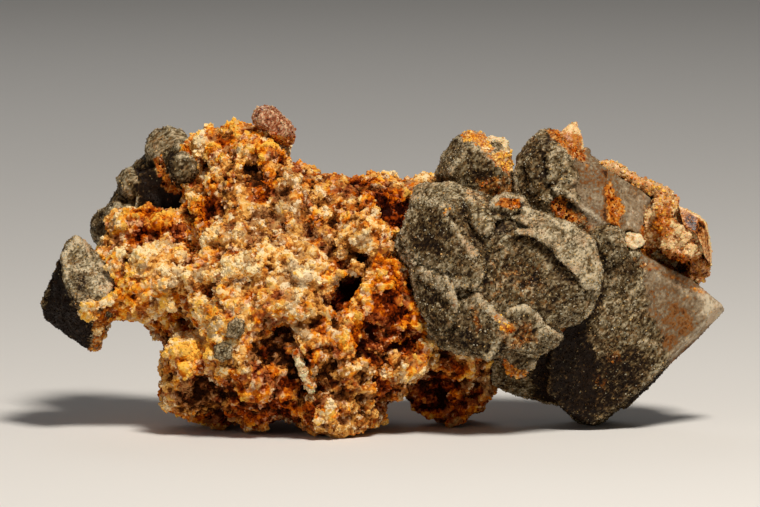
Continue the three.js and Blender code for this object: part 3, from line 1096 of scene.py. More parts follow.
FRONT_CRYSTAL = {
    "relief": FLAT_RELIEF,
    "slabs": [
        # the stained cap on the rim
        [(12.4, 26.9, -10.4, -7), (13.0, 28.0, -9.8, -6), (14.4, 28.5, -9.6, -6),
         (16.2, 28.1, -9.4, -6), (17.0, 26.9, -9.6, -7), (14.8, 26.4, -10.5, -7)],
        # the broad rim, with its corner at the upper right
        [(15.4, 24.0, -11.9, -7), (16.4, 27.0, -10.5, -7), (21.4, 25.1, -10.5, -7),
         (24.4, 23.1, -10.8, -7), (25.2, 19.8, -11.0, -7), (25.0, 17.4, -10.8, -7),
         (23.4, 17.8, -11.8, -7), (22.9, 18.5, -12.2, -7), (21.2, 20.2, -12.3, -7),
         (19.4, 22.3, -12.1, -7), (17.4, 23.6, -12.0, -7)],
        # what closes the gap above the foot
        [(8.2, 18.8, -11.4, -7), (12.6, 18.8, -11.8, -7), (12.8, 15.4, -12.2, -7),
         (8.4, 15.4, -11.6, -7)],
    ],
    "cuts": [
        # the basin under the upper right rim
        hole((14.6, 22.6, -11.0), (14.9, 23.5, -10.6), (15.9, 23.9, -10.4), (17.4, 23.6, -10.4),
             (19.4, 22.3, -10.6), (21.2, 20.2, -11.0), (22.9, 18.5, -11.4), (22.6, 16.8, -11.6),
             (20.5, 15.2, -12.4), (16.5, 15.4, -12.8), (12.6, 16.4, -12.6), (11.8, 18.0, -12.0),
             (11.8, 20.0, -11.2), (12.4, 21.8, -10.8), lean=(0.15, 0.2)),
        # the recess under the top rim
        hole((12.7, 24.9, -9.9), (13.2, 25.7, -9.6), (14.4, 26.0, -9.5), (15.8, 25.6, -9.6),
             (17.2, 24.8, -9.8), (17.0, 24.3, -10.2), (15.6, 24.3, -10.2), (14.6, 24.0, -10.6),
             (13.6, 23.2, -11.2), (12.6, 23.6, -10.9)),
        # the hole at the corner of the left plate, and the one above the foot
        hole((6.7, 18.9, -9), (7.2, 19.8, -9), (7.9, 19.6, -9), (8.2, 18.8, -9), (7.4, 18.4, -9)),
        hole((9.7, 16.9, -10), (10.4, 17.4, -10.4), (11.3, 17.0, -10.4), (11.3, 16.3, -10.4),
             (10.3, 16.1, -10)),
    ],
    "patches": [
        # the left plate with its ridge, and the finger beside it, stand proud
        area((1.5, 28.0), (4.6, 28.6), (7.1, 27.4), (8.0, 25.6), (9.9, 22.6), (11.4, 20.6),
             (11.7, 18.8), (10.6, 17.7), (8.4, 18.2), (6.8, 19.9), (2.6, 22.0), lift=0.8),
        area((9.9, 27.6), (11.3, 27.2), (12.6, 25.8), (12.5, 24.2), (11.4, 23.8), (10.6, 25.0),
             (9.7, 26.4), lift=0.8),
        area((2.2, 28.4), (3.2, 30.8), (6.0, 31.2), (10.6, 28.4), (9.2, 26.8), (6.8, 26.6), shade=0.16),
        # painted shade on the upper middle of the left plate
        area((3.6, 21.8), (3.2, 25.0), (5.4, 26.2), (7.2, 24.2), (7.0, 21.8), shade=-0.16),
        # a painted highlight along the plate's right-hand ridge
        area((7.2, 27.2), (7.8, 25.4), (9.4, 22.8), (11.0, 20.6), (11.2, 18.6), (11.5, 20.8),
             (9.8, 23.1), (8.2, 25.6), (7.5, 27.2), shade=0.14),
        # the rim band, paler with a painted highlight, and painted shade in the crescent under its
        # crest
        area(*[(x + 0.3, v + 0.3) for x, v in RIM], (24.8, 17.0), (25.6, 21.0), (23.9, 23.6),
             (21.4, 25.4), (16.3, 26.9), shade=0.3),
        line(0.9, *[(x - 0.4, v - 0.45) for x, v in RIM], shade=-0.1),
        # painted shade in the recess under the top rim
        area((12.6, 23.4), (12.8, 25.6), (14.4, 26.2), (17.4, 25.0), (15.2, 24.0), shade=-0.05),
        area((12.0, 18.0), (12.6, 22.0), (14.4, 22.6), (16.6, 20.4), (17.6, 17.0), (13.0, 16.0),
             shade=0.08),
        area((11.8, 18.0), (12.6, 22.4), (15.4, 22.8), (18.2, 20.4), (19.4, 16.2), (17.0, 14.8),
             (12.4, 15.8), stain=0.24),
        area((13.0, 27.2), (13.8, 28.0), (15.8, 27.8), (16.0, 27.1), (14.6, 26.7), stain=0.9,
             shade=-0.25),
        line(0.5, (12.5, 27.2), (13.5, 28.3), (15.2, 28.3), (16.5, 27.7), shade=0.34),
        # painted shade under the cap
        line(0.5, (12.6, 26.6), (14.4, 26.2), (16.6, 26.4), shade=-0.3),
        area((12.0, 26.9), (13.4, 26.6), (16.4, 26.4), (15.2, 25.8), (12.4, 25.9), shade=0.15),
        area((20.0, 14.0), (22.4, 17.4), (24.6, 17.0), (23.6, 13.8), shade=0.06),
        area((9.2, 28.0), (10.0, 29.4), (12.6, 27.8), (12.4, 26.8), stain=0.34, shade=0.2),
        area((6.9, 26.0), (7.0, 27.0), (7.5, 26.8), (7.5, 25.8), stain=0.8),
    ],
}

FOOT_CRYSTAL = {
    "relief": FLAT_RELIEF,
    "slabs": [
        # the left wing, the peak and the arc
        [(3.0, 21.7, -9.8, -7), (5.4, 20.4, -10.9, -7), (8.0, 18.7, -12.2, -7), (8.5, 15.4, -13.0, -7),
         (7.4, 11.4, -11.4, -7), (4.8, 14.4, -10.2, -7), (3.4, 18.4, -9.6, -7)],
        [(8.7, 15.2, -12.2, -8), (10.9, 17.0, -12.8, -8), (12.5, 15.2, -13.4, -8),
         (14.4, 13.6, -13.4, -8), (13.4, 11.0, -13.0, -8), (12.3, 9.3, -12.8, -8),
         (10.6, 10.6, -12.6, -8), (8.6, 12.0, -12.2, -8)],
        [(13.6, 13.4, -12.9, -8), (14.6, 15.0, -12.8, -8), (16.4, 15.6, -12.4, -8),
         (17.8, 14.6, -12.2, -8), (18.8, 12.6, -12.0, -8), (17.2, 10.4, -11.8, -8),
         (14.6, 10.8, -12.6, -8)],
    ],
    "cuts": [
        hole((13.0, 9.4, -9), (14.8, 10.4, -9), (16.8, 10.0, -8), (17.4, 8.6, -8), (16.8, 8.2, -9),
             (14.6, 8.2, -9), (13.4, 8.0, -8)),
    ],
    "patches": [
        # the ledge and the crests and facet edges, paler with painted highlights
        area((3.0, 21.2), (5.0, 20.0), (6.7, 19.2), (8.1, 18.0), (8.7, 15.8), (7.6, 15.9), (6.2, 17.6),
             (4.6, 19.0), lift=0.4),
        area((3.0, 21.2), (5.0, 20.0), (6.7, 19.2), (8.1, 18.0), (8.7, 15.8), (7.8, 15.8), (6.2, 17.6),
             (4.6, 19.0), shade=0.26),
        line(0.7, (9.6, 15.2), (11.0, 16.0), (12.8, 14.5), (14.2, 13.4), shade=0.26),
        area((4.6, 18.4), (7.4, 16.2), (8.4, 13.0), (7.2, 11.0), (4.2, 15.0), shade=-0.14),
        area((4.4, 14.0), (6.0, 16.2), (8.0, 14.2), (6.6, 11.6), lift=0.35),
        line(0.35, (4.4, 14.0), (6.0, 16.2), (8.0, 14.2), (6.6, 11.6), shade=0.12),
        area((8.6, 12.8), (11.6, 12.0), (12.6, 10.2), (10.4, 10.0), (8.4, 11.2), shade=-0.28),
        area((4.4, 12.4), (6.8, 11.4), (8.6, 9.6), (6.0, 9.4), (3.8, 11.0), shade=-0.22),
        line(0.5, (13.2, 11.4), (12.6, 10.2), (12.3, 9.4), shade=0.22),
        area((10.3, 15.4), (10.9, 15.5), (11.2, 13.6), (11.3, 12.0), (10.7, 11.8), stain=0.5),
        area((12.2, 14.6), (13.8, 14.3), (15.0, 12.9), (14.4, 12.2), (13.0, 13.4), stain=0.6,
             shade=0.25),
        area((12.6, 12.6), (14.2, 13.0), (17.2, 14.0), (18.0, 11.4), (15.0, 10.4), stain=0.38),
        line(0.6, (14.0, 14.8), (15.4, 15.5), (17.2, 15.2), shade=0.2),
        area((17.6, 13.4), (19.4, 14.6), (21.4, 13.0), (20.0, 10.6), (17.8, 11.0), shade=0.14),
        area((13.6, 9.4), (13.2, 7.4), (16.2, 6.6), (17.2, 8.0), (15.2, 8.4), stain=0.6),
    ],
    "stains": [(8.2, 15.6, 0.6, 0.4)],
}

LOWER_RIGHT_CRYSTAL = {
    "druse": bare_lower,
    "slabs": [
        # the bevel along the lower right edge
        [(39.9, 15.4, -0.5, 4), (40.2, 14.9, 0.3, 4), (36.9, 11.5, 0.4, 4), (30.8, 5.6, 0.4, 4),
         (28.4, 3.3, 0.3, 4), (28.0, 4.2, -0.6, 4), (33.1, 9.1, -0.9, 4), (36.5, 12.4, -0.9, 4)],
    ],
    "patches": [
        # a painted highlight along the lower right edge
        line(0.9, (39.6, 14.9), (36.5, 12.0), (33.2, 9.2), shade=0.26),
        area((36.4, 17.6), (38.0, 17.4), (40.6, 15.3), (38.8, 13.4), (37.6, 14.8), shade=0.3),
        # painted shade on the bevel, which faces down
        line(0.7, (40.2, 14.2), (36.8, 10.9), (30.8, 5.3), (28.0, 2.8), shade=-0.7),
        area((29.0, 21.4), (31.0, 20.8), (33.6, 19.4), (36.2, 17.9), (38.4, 17.0), (36.6, 17.1),
             (33.8, 18.7), (31.2, 19.7), (29.4, 20.4), stain=0.45),
        line(0.7, (31.6, 19.4), (33.6, 18.2), (36.4, 16.6), shade=0.18),
        area((31.4, 19.8), (37.6, 16.8), (38.6, 14.6), (34.0, 9.8), (31.6, 14.0), stain=0.08),
        area((32.4, 13.6), (35.4, 15.4), (36.6, 12.4), (33.8, 9.4), shade=-0.1),
        area((34.8, 16.8), (35.8, 16.8), (36.4, 14.8), (36.3, 12.6), (35.5, 12.8), (35.4, 14.6),
             stain=0.18),
        area((25.2, 13.6), (25.2, 18.6), (30.6, 19.4), (31.0, 15.6), (28.6, 12.6), shade=0.12),
        # painted shade where the front crystal shadows it, and along the edge where they meet
        area((18.0, 3.6), (17.4, 11.6), (23.4, 13.6), (25.2, 8.4), (24.4, 1.0), shade=-0.52),
        line(1.2, (24.2, 23.0), (25.4, 21.2), (25.1, 19.0), (25.5, 16.8), (24.6, 14.6), (22.4, 12.8),
             (20.6, 10.6), shade=-0.34),
        # more painted shade at the lower left
        area((24.4, 2.0), (25.2, 9.4), (29.4, 10.4), (31.8, 8.4), (28.6, 3.4), shade=-0.24),
        area((29.8, 10.2), (30.0, 11.6), (32.0, 11.4), (32.4, 10.0), shade=0.16),
        area((24.1, 21.2), (24.4, 23.6), (26.6, 24.8), (28.6, 23.0), (28.0, 20.8), shade=0.04),
    ],
    "stains": [
        (33.2, 15.0, 1.6, 0.05), (27.0, 9.6, 1.2, 0.45), (25.6, 6.6, 1.3, 0.35),
        (27.4, 12.6, 1.6, 0.22), (20.4, 12.4, 0.8, 0.6),
    ],
}

UPPER_RIGHT_CRYSTAL = {
    "druse": bare_upper,
    "slabs": [
        # what closes the gap behind the front crystal
        [(19.4, 27.0, -5.2, 0), (22.0, 26.4, -5.2, 0), (26.4, 24.2, -5.2, 0), (26.6, 21.2, -5.4, 0),
         (20.8, 21.2, -5.6, 0)],
    ],
    "domes": [
        ((19.6, 31.2, -5.2), 0.56, (15.6, 33.0, -0.5), (18.3, 36.0, 0.0), (21.0, 35.9, 0.0),
         (23.4, 33.6, -0.5), (24.2, 29.2, -3.0), (20.4, 27.2, -3.6), (16.0, 27.4, -3.0)),
    ],
    "cuts": [
        # above its right-hand faces
        hole((24.2, 33.2, 2.4), (25.5, 32.0, 2.4), (27.8, 30.5, 2.4), (30.1, 29.15, 2.4),
             (31.6, 28.0, 2.4), (34.0, 27.0, 2.4), (34.0, 33.0, 2.4), (25.0, 36.0, 2.4)),
        # its straight left slope
        hole((14.0, 31.6, 9), (14.0, 37.4, 9), (19.0, 37.4, 9), (18.7, 35.8, 9), (17.6, 34.4, 9),
             (16.6, 33.1, 9), (15.6, 31.6, 9)),
        # the crack beside the block crystal
        hole((14.6, 32.8, -1), (15.6, 32.6, -1), (15.5, 27, -2), (14.6, 27, -2)),
        # the valley beside the front crystal
        hole((19.4, 28.8, -5.2), (21.0, 28.8, -4.8), (23.2, 26.8, -4.9), (25.6, 25.3, -5.0),
             (27.6, 23.9, -5.0), (26, 22, -6.4), (22, 22, -6.4), (19, 25, -5.8)),
    ],
    "patches": [
        area((26.0, 29.6), (26.6, 29.9), (27.6, 28.3), (28.2, 26.4), (27.5, 24.5), (26.4, 25.2),
             (26.1, 27.4), stain=0.95),
        area((26.0, 29.8), (27.4, 28.6), (27.2, 24.5), (26.2, 25.2), shade=-0.25),
        area((19.6, 27.2), (20.4, 28.8), (21.6, 27.6), (22.4, 25.6), (20.6, 25.2), stain=0.9,
             shade=-0.7),
        area((19.6, 35.6), (21.4, 33.0), (22.6, 30.4), (22.4, 28.0), (20.2, 28.4), (19.0, 32.0),
             lift=0.6, shade=0.1),
        area((21.4, 27.6), (22.6, 26.8), (26.4, 24.0), (24.0, 22.6), (21.6, 25.4), stain=0.42),
        area((21.8, 27.2), (22.6, 26.8), (26.4, 24.0), (24.0, 22.6), (22.6, 24.4), shade=0.12),
        line(0.7, (22.0, 28.0), (24.2, 26.2), (26.2, 24.9), (28.4, 23.8), shade=0.26),
        area((18.9, 36.2), (19.4, 35.2), (20.8, 34.2), (22.4, 32.6), (23.8, 32.0), (23.8, 35.8),
             (20.8, 36.4), stain=0.62),
        area((19.6, 34.8), (20.6, 33.4), (22.6, 32.0), (22.8, 32.8), (20.8, 34.6), shade=0.26),
        area((29.8, 24.6), (31.2, 25.0), (31.4, 23.2), (30.2, 23.0), stain=0.7),
        area((28.4, 29.2), (31.2, 29.0), (31.6, 24.6), (28.6, 24.4), stain=0.22),
        # painted light and shade: the faces beside the upright edge are made darker and lighter, with
        # painted shade along the edge
        area((22.8, 31.4), (26.0, 31.4), (25.8, 25.4), (23.4, 27.2), shade=-0.04),
        area((27.2, 30.4), (31.6, 28.0), (31.4, 23.4), (28.4, 24.4), shade=0.1),
        line(0.35, (26.05, 31.4), (26.0, 28.0), (25.9, 25.4), shade=-0.2),
        area((16.0, 34.0), (19.6, 33.6), (20.0, 29.0), (16.0, 27.4), shade=-0.1),
    ],
    "stains": [(18.4, 29.8, 1.0, 0.3), (17.4, 35.2, 0.8, 0.35)],
}

BLOCK_CRYSTAL = {
    "domes": [
        ((11.0, 31.4, -4.7), 0.62, (5.9, 30.9, 0), (8.6, 35.2, 0), (10.2, 36.1, 0), (11.9, 35.1, 0),
         (13.8, 35.0, 0), (15.1, 33.5, 0), (15.0, 28.2, -2), (12.0, 27.0, -3), (8.0, 28.4, -2)),
    ],
    "cuts": [hole((14.8, 32.8, -1), (15.4, 32.6, -1), (15.3, 26, -2), (14.6, 26, -2))],
    "patches": [
        area((9.2, 35.0), (9.8, 36.4), (11.8, 35.8), (13.0, 33.9), (12.2, 33.2), (10.6, 34.6),
             stain=0.8, shade=0.95),
        area((12.6, 33.2), (13.8, 33.8), (16.0, 33.8), (15.8, 32.0), (14.4, 31.2), (13.2, 32.2),
             stain=0.8, shade=0.95),
        # painted shade in the crack beside the block
        line(0.4, (15.0, 31.6), (15.3, 30.0), (15.2, 28.0), shade=-0.35),
        area((10.8, 30.4), (15.2, 31.0), (15.2, 27.4), (10.8, 27.8), stain=0.42),
        area((10.4, 31.0), (15.2, 31.4), (15.2, 27.0), (9.6, 28.4), shade=-0.1),
        area((6.2, 31.4), (7.2, 33.8), (9.4, 35.0), (9.8, 32.6), (8.2, 30.8), shade=0.08),
    ],
}

LEFT_END_CRYSTAL = {
    "relief": FLAT_RELIEF,
    "slabs": [
        # the upper facet, which catches the light
        [(-35.9, 23.5, -4.4, -1), (-37.4, 21.2, -5.4, -2), (-37.2, 18.7, -6.2, -2),
         (-36.4, 16.6, -6.6, -3), (-34.6, 17.2, -6.0, -3), (-33.5, 18.8, -5.2, -2),
         (-34.6, 22.2, -4.2, -1)],
    ],
    "patches": [
        # a painted highlight on the upper facet, which catches the light
        area((-36.0, 24.0), (-37.5, 21.2), (-37.3, 18.6), (-36.6, 16.5), (-34.6, 17.2), (-32.2, 16.6),
             (-30.0, 18.6), (-33.6, 20.6), (-34.4, 23.6), shade=0.38),
        area((-36.7, 17.3), (-36.5, 18.8), (-35.2, 19.3), (-34.3, 18.9), (-34.2, 17.8), (-35.4, 16.9),
             shade=-0.42),
        area((-36.4, 21.6), (-35.4, 22.4), (-34.8, 21.0), (-35.8, 19.8), shade=-0.2),
        area((-33.8, 19.0), (-32.0, 19.2), (-30.6, 17.8), (-33.0, 16.8), shade=-0.16),
        area((-33.4, 18.4), (-31.0, 18.6), (-30.4, 16.4), (-33.0, 16.6), stain=0.34),
        # painted shade on the lower left side, which faces away from the light
        area((-37.9, 20.6), (-40.6, 15.4), (-39.2, 12.4), (-34.4, 9.8), (-34.2, 13.6), (-36.8, 16.4),
             shade=-0.75),
        line(0.7, (-39.0, 17.4), (-39.6, 16.0), (-39.8, 15.0), shade=0.5),
        area((-34.4, 14.6), (-32.2, 14.8), (-32.6, 9.8), (-34.6, 9.8), (-33.8, 12.4), stain=0.6),
    ],
}

BACK_LEFT_CRYSTALS = {
    "domes": [
        # the near cone, the left lobe, and the small one
        ((-23.3, 32.0, 0.9), 0.44, (-26.1, 30.2, 6), (-25.8, 33.0, 6), (-24.2, 34.7, 6),
         (-22.2, 34.3, 6), (-20.9, 32.6, 6), (-20.8, 30.6, 6), (-22.0, 28.9, 6), (-24.4, 28.6, 6)),
        ((-29.6, 29.6, 5.0), 0.5, (-31.3, 30.6, 8), (-30.0, 31.8, 8), (-28.4, 31.2, 8),
         (-28.0, 28.4, 8), (-29.4, 27.4, 8), (-31.1, 28.4, 8)),
        ((-31.8, 26.2, 4.6), 0.5, (-34.3, 25.0, 7), (-33.4, 26.8, 7), (-31.0, 28.2, 7),
         (-29.6, 27.4, 7), (-30.2, 25.4, 7), (-32.6, 24.2, 7)),
    ],
    "slabs": [
        # the back of the dark hollow
        [(-29.0, 27.0, 4.6, 9), (-28.6, 31.0, 5.0, 9), (-25.0, 32.0, 4.6, 9), (-21.4, 31.0, 4.0, 9),
         (-21.4, 27.0, 4.0, 9), (-25.0, 25.6, 4.0, 9)],
    ],
    "relief": [("clouds", 3.4, 1.3, 9.0), *FLAT_RELIEF],
    "crust": 0.7,
    "patches": [
        # a painted highlight on top of the lobe
        area((-28.2, 32.6), (-26.6, 36.4), (-23.0, 36.8), (-22.0, 34.8), (-25.8, 33.4), shade=0.12),
        # painted shade on the cone's left side
        area((-25.9, 33.0), (-24.4, 33.8), (-23.8, 29.0), (-25.8, 29.0), shade=-0.4),
        area((-24.2, 33.6), (-21.0, 32.8), (-20.8, 30.0), (-23.6, 29.0), shade=-0.1),
        # a painted highlight along the cone's right edge
        line(1.0, (-24.2, 34.2), (-22.6, 33.6), (-21.6, 32.4), shade=0.14),
        # painted shade in the hollow
        area((-28.9, 31.6), (-27.6, 32.4), (-26.0, 32.8), (-25.8, 29.0), (-21.0, 29.0), (-21.0, 26.0),
             (-28.8, 26.4), shade=-0.6),
        area((-27.0, 32.9), (-25.9, 33.4), (-25.5, 31.2), (-24.8, 30.0), (-23.6, 29.2), (-24.6, 28.6),
             (-26.0, 29.8), (-26.6, 31.0), stain=0.9, shade=0.4),
        area((-28.0, 34.0), (-26.4, 36.2), (-24.6, 35.4), (-26.4, 33.4), stain=0.22),
    ],
    "back": 12.0,
}

SMALL_GREY_CRYSTAL = {
    "shrink": 0.9,
    "domes": [
        ((-18.7, 10.0, -13.6), 0.72, (-19.7, 9.5, -11), (-19.6, 11.0, -11), (-18.6, 11.5, -11),
         (-17.3, 11.1, -11), (-17.4, 9.4, -11), (-18.6, 8.9, -11)),
        ((-16.9, 13.1, -13.6), 0.72, (-18.4, 11.8, -11), (-18.2, 13.4, -11), (-17.2, 14.3, -11),
         (-15.9, 13.9, -11), (-16.1, 12.3, -11), (-17.1, 11.5, -11)),
    ],
    "voxel": 0.14,
    "relief": [("steps", 1.6, 0.25, 2.0), ("clouds", 0.5, 0.16, 3.0)],
    "crust": 0.8,
    "shade": 0.18,
    "patches": [area((-20.0, 8.6), (-20.0, 11.6), (-17.0, 11.6), (-17.0, 8.6), shade=-0.08)],
}

CRYSTALS = {
    "front_crystal": FRONT_CRYSTAL,
    "foot_crystal": FOOT_CRYSTAL,
    "lower_right_crystal": LOWER_RIGHT_CRYSTAL,
    "upper_right_crystal": UPPER_RIGHT_CRYSTAL,
    "block_crystal": BLOCK_CRYSTAL,
    "left_end_crystal": LEFT_END_CRYSTAL,
    "back_left_crystals": BACK_LEFT_CRYSTALS,
    "small_grey_crystal": SMALL_GREY_CRYSTAL,
}


def druse_share(plan, place):
    """How far each place of a crystal is covered with druse."""
    return plan["druse"](place) if "druse" in plan else np.ones(len(place))


def crusted_crystal(node, seed):
    """A grey crystal, cut, roughened, and crusted with druse where its druse rule says."""
    settings = bpy.context.scene.stones
    plan = CRYSTALS[node]
    obj = stone_copy(node)
    shape(obj, plan)
    remesh(obj, plan.get("voxel", CRYSTAL_VOXEL))
    place = corners_of(obj)
    paint(obj, "druse", druse_share(plan, place))
    place[:, 1] -= patches(place, plan, "lift")
    move_corners(obj, place)
    relief(obj, plan.get("relief", CRYSTAL_RELIEF), warp_mm=0.5, by_druse=True)
    place = mark(obj, plan, seed, fine=6, wide=60)
    crust = np.maximum(druse_share(plan, place), 0.07)
    crust[hidden(node, place, depth_mm=1.8)] = 0
    paint(obj, "crusted", plan.get("crust", 1) * crust * (1 - 0.35 * ramp_step(place[:, 1], 1, 5)))
    settle(obj)
    scatter(
        obj, "druse_points", settings.druse_density, settings.druse_size, "crusted", seed,
        least=0.5, fewer_large=1.3,
    )
    settle(obj)
    return obj


# Plates added to the matrix, each corner (x, v, front depth, back depth).
MATRIX_WALL = [
    (-11.0, 13.8, -11.8, -6), (-10.1, 10.6, -13.4, -6), (-8.7, 7.0, -13.2, -6), (-5.0, 6.4, -11.2, -6),
    (-4.2, 11.0, -11.6, -6), (-6.0, 14.4, -10.8, -6),
]
MATRIX_FILL = [
    (-23.5, 27.5, -1.5, 6), (-21.5, 29.5, -1, 6), (-20, 31.5, -1.5, 6), (-17.5, 33, -3, 6),
    (-13, 33, -3.5, 6), (-9.5, 31, -5, 6), (-9.5, 27, -6.5, 4), (-14, 26.5, -6.5, 4),
    (-18, 26.5, -6.3, 4), (-21.5, 26, -3.5, 4),
]
MATRIX_BED = [
    (-20.4, 8.2, -11.8, -7), (-20.4, 11.8, -12.0, -7), (-19.0, 14.2, -12.2, -7),
    (-16.6, 15.6, -12.0, -7), (-14.6, 14.4, -12.0, -7), (-15.4, 11.8, -12.4, -7),
    (-16.8, 8.6, -12.2, -7),
]
# It reaches over the left end crystal in a lobe and a tongue.
MATRIX_LOBE = [
    (-36.0, 15.2, -8.0, -2), (-34.8, 16.4, -8.2, -2), (-32.8, 16.6, -7.8, -2), (-29.6, 17.6, -6.0, 0),
    (-29.6, 13.6, -5.6, 0), (-33.0, 13.6, -7.2, -2), (-35.2, 14.0, -7.6, -2),
]
MATRIX_TONGUE = [
    (-34.4, 14.6, -7.2, -2), (-32.0, 14.6, -6.6, -2), (-32.4, 12.6, -6.2, -1.5),
    (-33.1, 11.2, -5.6, -1.5), (-34.2, 11.5, -5.8, -1.5), (-34.0, 12.8, -6.6, -2),
]

# Hollows cut into the matrix, each corner (x, v, depth).
MATRIX_CUTS = [
    # room for the crystals at the back left
    [(-32.0, 29.0, 3), (-28.6, 28.0, 2), (-24.0, 27.8, 2), (-21.4, 28.6, 2), (-20.2, 30.6, 2),
     (-20.3, 32.8, 2), (-21.6, 35.0, 2), (-22.4, 36.6, 3), (-24.0, 40.0, 3), (-32.0, 40.0, 3)],
    # the vug
    [(-6.6, 15.2, -7), (-6.0, 17.0, -6), (-4.8, 18.6, -5), (-3.0, 19.3, -5), (-1.9, 18.4, -6),
     (-2.6, 16.8, -7), (-4.2, 15.2, -8), (-5.6, 14.2, -8)],
    # under the knob
    [(-16.6, 30.4, -3.6), (-15.8, 32.4, -3.2), (-14.0, 32.2, -3.2), (-13.0, 30.6, -3.4),
     (-13.8, 29.8, -4), (-15.8, 29.4, -4)],
    # the red hollow
    [(-21.8, 26.4, -5), (-20.6, 28.4, -4), (-18.8, 27.8, -4), (-18.4, 25.6, -5), (-19.8, 24.6, -6),
     (-21.2, 24.9, -6)],
    # pits beside the pale blade
    [(-13.2, 12.6, -10), (-11.8, 13.4, -9.6), (-10.6, 12.6, -9.6), (-10.2, 10.4, -10),
     (-9.3, 8.0, -10), (-9.6, 6.4, -10), (-11.2, 6.2, -10.4), (-11.8, 8.4, -10.6),
     (-12.2, 10.4, -10.4)],
    # the dark lower left
    [(-22.8, 6.4, -10), (-21.8, 7.0, -9.8), (-21.0, 6.2, -10), (-21.4, 5.2, -10), (-22.4, 5.0, -10)],
    [(-19.4, 5.4, -10.2), (-18.4, 6.4, -10), (-17.6, 5.8, -10.2), (-18.2, 4.4, -10.4)],
    # pits in the red zone
    [(1.4, 14.2, -6), (2.2, 15.2, -6), (3.4, 14.8, -5), (2.8, 13.6, -6)],
    [(1.4, 26.6, -3), (2.6, 27.8, -2), (3.8, 26.8, -2), (2.8, 25.6, -3)],
]

# Dents of the back, each (x, z, reach, push) in mm.
MATRIX_BACK = [
    (-22.0, 12.0, 5.0, 2.6), (-12.0, 25.0, 4.0, 2.2), (-4.0, 9.0, 4.5, 2.6), (4.0, 22.0, 4.0, 1.8),
    (-16.0, 17.0, 4.0, -1.6), (-6.0, 17.0, 4.0, -1.4), (-25.0, 22.0, 3.5, -1.2),
    (1.0, 14.0, 3.0, -1.2), (-14.0, 7.0, 3.5, -1.4), (8.0, 6.0, 3.0, 1.6),
]

# Pushes (x, v, reach, push) that lay out the terrain of the show side.
MATRIX_STROKES = [
    (-6.0, 26.6, 2.4, 1.2), (-16.5, 17.5, 3.0, 1.2), (-27.0, 15.0, 2.4, 1.2), (3.6, 11.0, 2.2, 1.6),
    (-9.0, 30.0, 2.0, 1.4), (-3.6, 22.8, 2.6, -1.2), (-9.5, 19.0, 2.6, -1.0), (-13.0, 24.0, 2.4, -0.8),
    (-22.0, 19.6, 3.0, -1.0), (-7.5, 13.6, 2.4, -1.0), (-4.6, 7.5, 2.6, -1.0), (0.5, 22.8, 2.2, -0.8),
    (-16.0, 8.2, 2.4, -0.8), (-28.0, 21.0, 2.4, -0.8), (-8.3, 9.4, 2.0, -1.3),
]

# Where the knobs leave the hollows open, (x, v, reach, amount).
MATRIX_HOLLOWS = [
    (-3.8, 17.2, 2.2, 1.6), (-5.8, 15.4, 1.3, 1.2), (-15.2, 30.8, 1.8, 1.6), (-20.2, 26.6, 1.8, 1.4),
    (-11.8, 11.2, 1.3, 0.9), (-11.0, 7.2, 1.2, 0.7), (-20.8, 6.0, 1.3, 0.7), (2.6, 26.8, 1.2, 1.0),
    (3.6, 11.0, 1.4, 1.2), (2.4, 14.5, 0.9, 1.0),
]

RIGHT_QUARTZ_CLUSTER = {
    "slot": "stained_quartz",
    "knobs": (0.9, 1.6),
    "crumbs": (3.0, 0.5),
    "slabs": [
        # the crust along the top
        [(25.4, 32.2, 1.2, 4), (26.2, 32.3, 1.0, 4), (27.8, 32.0, 0.9, 4), (29.3, 30.8, 0.6, 4),
         (31.6, 29.8, 0.4, 4), (34.0, 28.3, 0.0, 4), (34.4, 27.2, -0.6, 4), (32.2, 28.2, 0.2, 4),
         (30.3, 29.4, 0.5, 4), (28.0, 30.7, 0.8, 4), (26.0, 31.8, 1.0, 4)],
        # the back of the cave
        [(30.0, 20.4, -1.6, 4), (30.6, 24.4, -2.4, 4), (31.2, 27.4, -1.6, 4), (34.6, 26.0, -2.2, 4),
         (36.4, 21.0, -1.8, 4), (36.8, 18.2, -1.0, 4), (33.6, 18.6, -0.6, 4)],
    ],
    "cuts": [
        hole((30.6, 22.3, 2), (32.6, 22.5, 2), (34.4, 21.6, 2), (36.0, 20.6, 2), (36.2, 19.2, 2),
             (34.6, 19.0, 2), (32.4, 20.2, 2), (30.6, 21.0, 2)),
        # the notch between the two lumps of the crust
        hole((29.5, 31.8, 3), (30.5, 31.2, 3), (30.5, 29.9, 3), (29.8, 30.2, 3)),
    ],
    "knobby": [
        (30.4, 19.0), (30.6, 26.4), (33.6, 27.8), (36.0, 24.4), (37.8, 21.6), (37.8, 18.2),
        (35.6, 17.8), (32.4, 19.6),
    ],
    "relief": [("clouds", 2.5, 0.9, 5.0), ("ridges", 1.6, 0.4, 7.0), ("domes", 0.8, 0.2, 6.0)],
    "patches": [
        area((31.8, 27.4), (33.6, 27.4), (34.0, 25.8), (32.2, 25.4), stain=0.95),
        area((31.4, 25.8), (33.6, 25.6), (33.8, 23.8), (31.6, 23.4), stain=1.0),
        area((24.4, 33.4), (30.0, 32.2), (35.2, 28.8), (34.8, 26.8), (31.0, 27.4), (24.6, 31.0),
             stain=0.54, shade=0.36),
        # painted shade in the cave, which is also stained
        area((29.8, 22.6), (33.0, 22.4), (36.2, 20.6), (35.6, 18.4), (30.4, 19.4), shade=-0.62,
             stain=0.6),
        area((34.6, 21.2), (38.8, 21.6), (38.6, 18.0), (35.6, 17.6), shade=-0.35, stain=0.45),
        area((33.4, 25.2), (37.6, 24.6), (37.8, 21.8), (33.6, 21.8), shade=0.26),
        area((31.0, 28.4), (34.6, 28.2), (34.8, 26.2), (33.8, 25.6), shade=0.2),
    ],
}

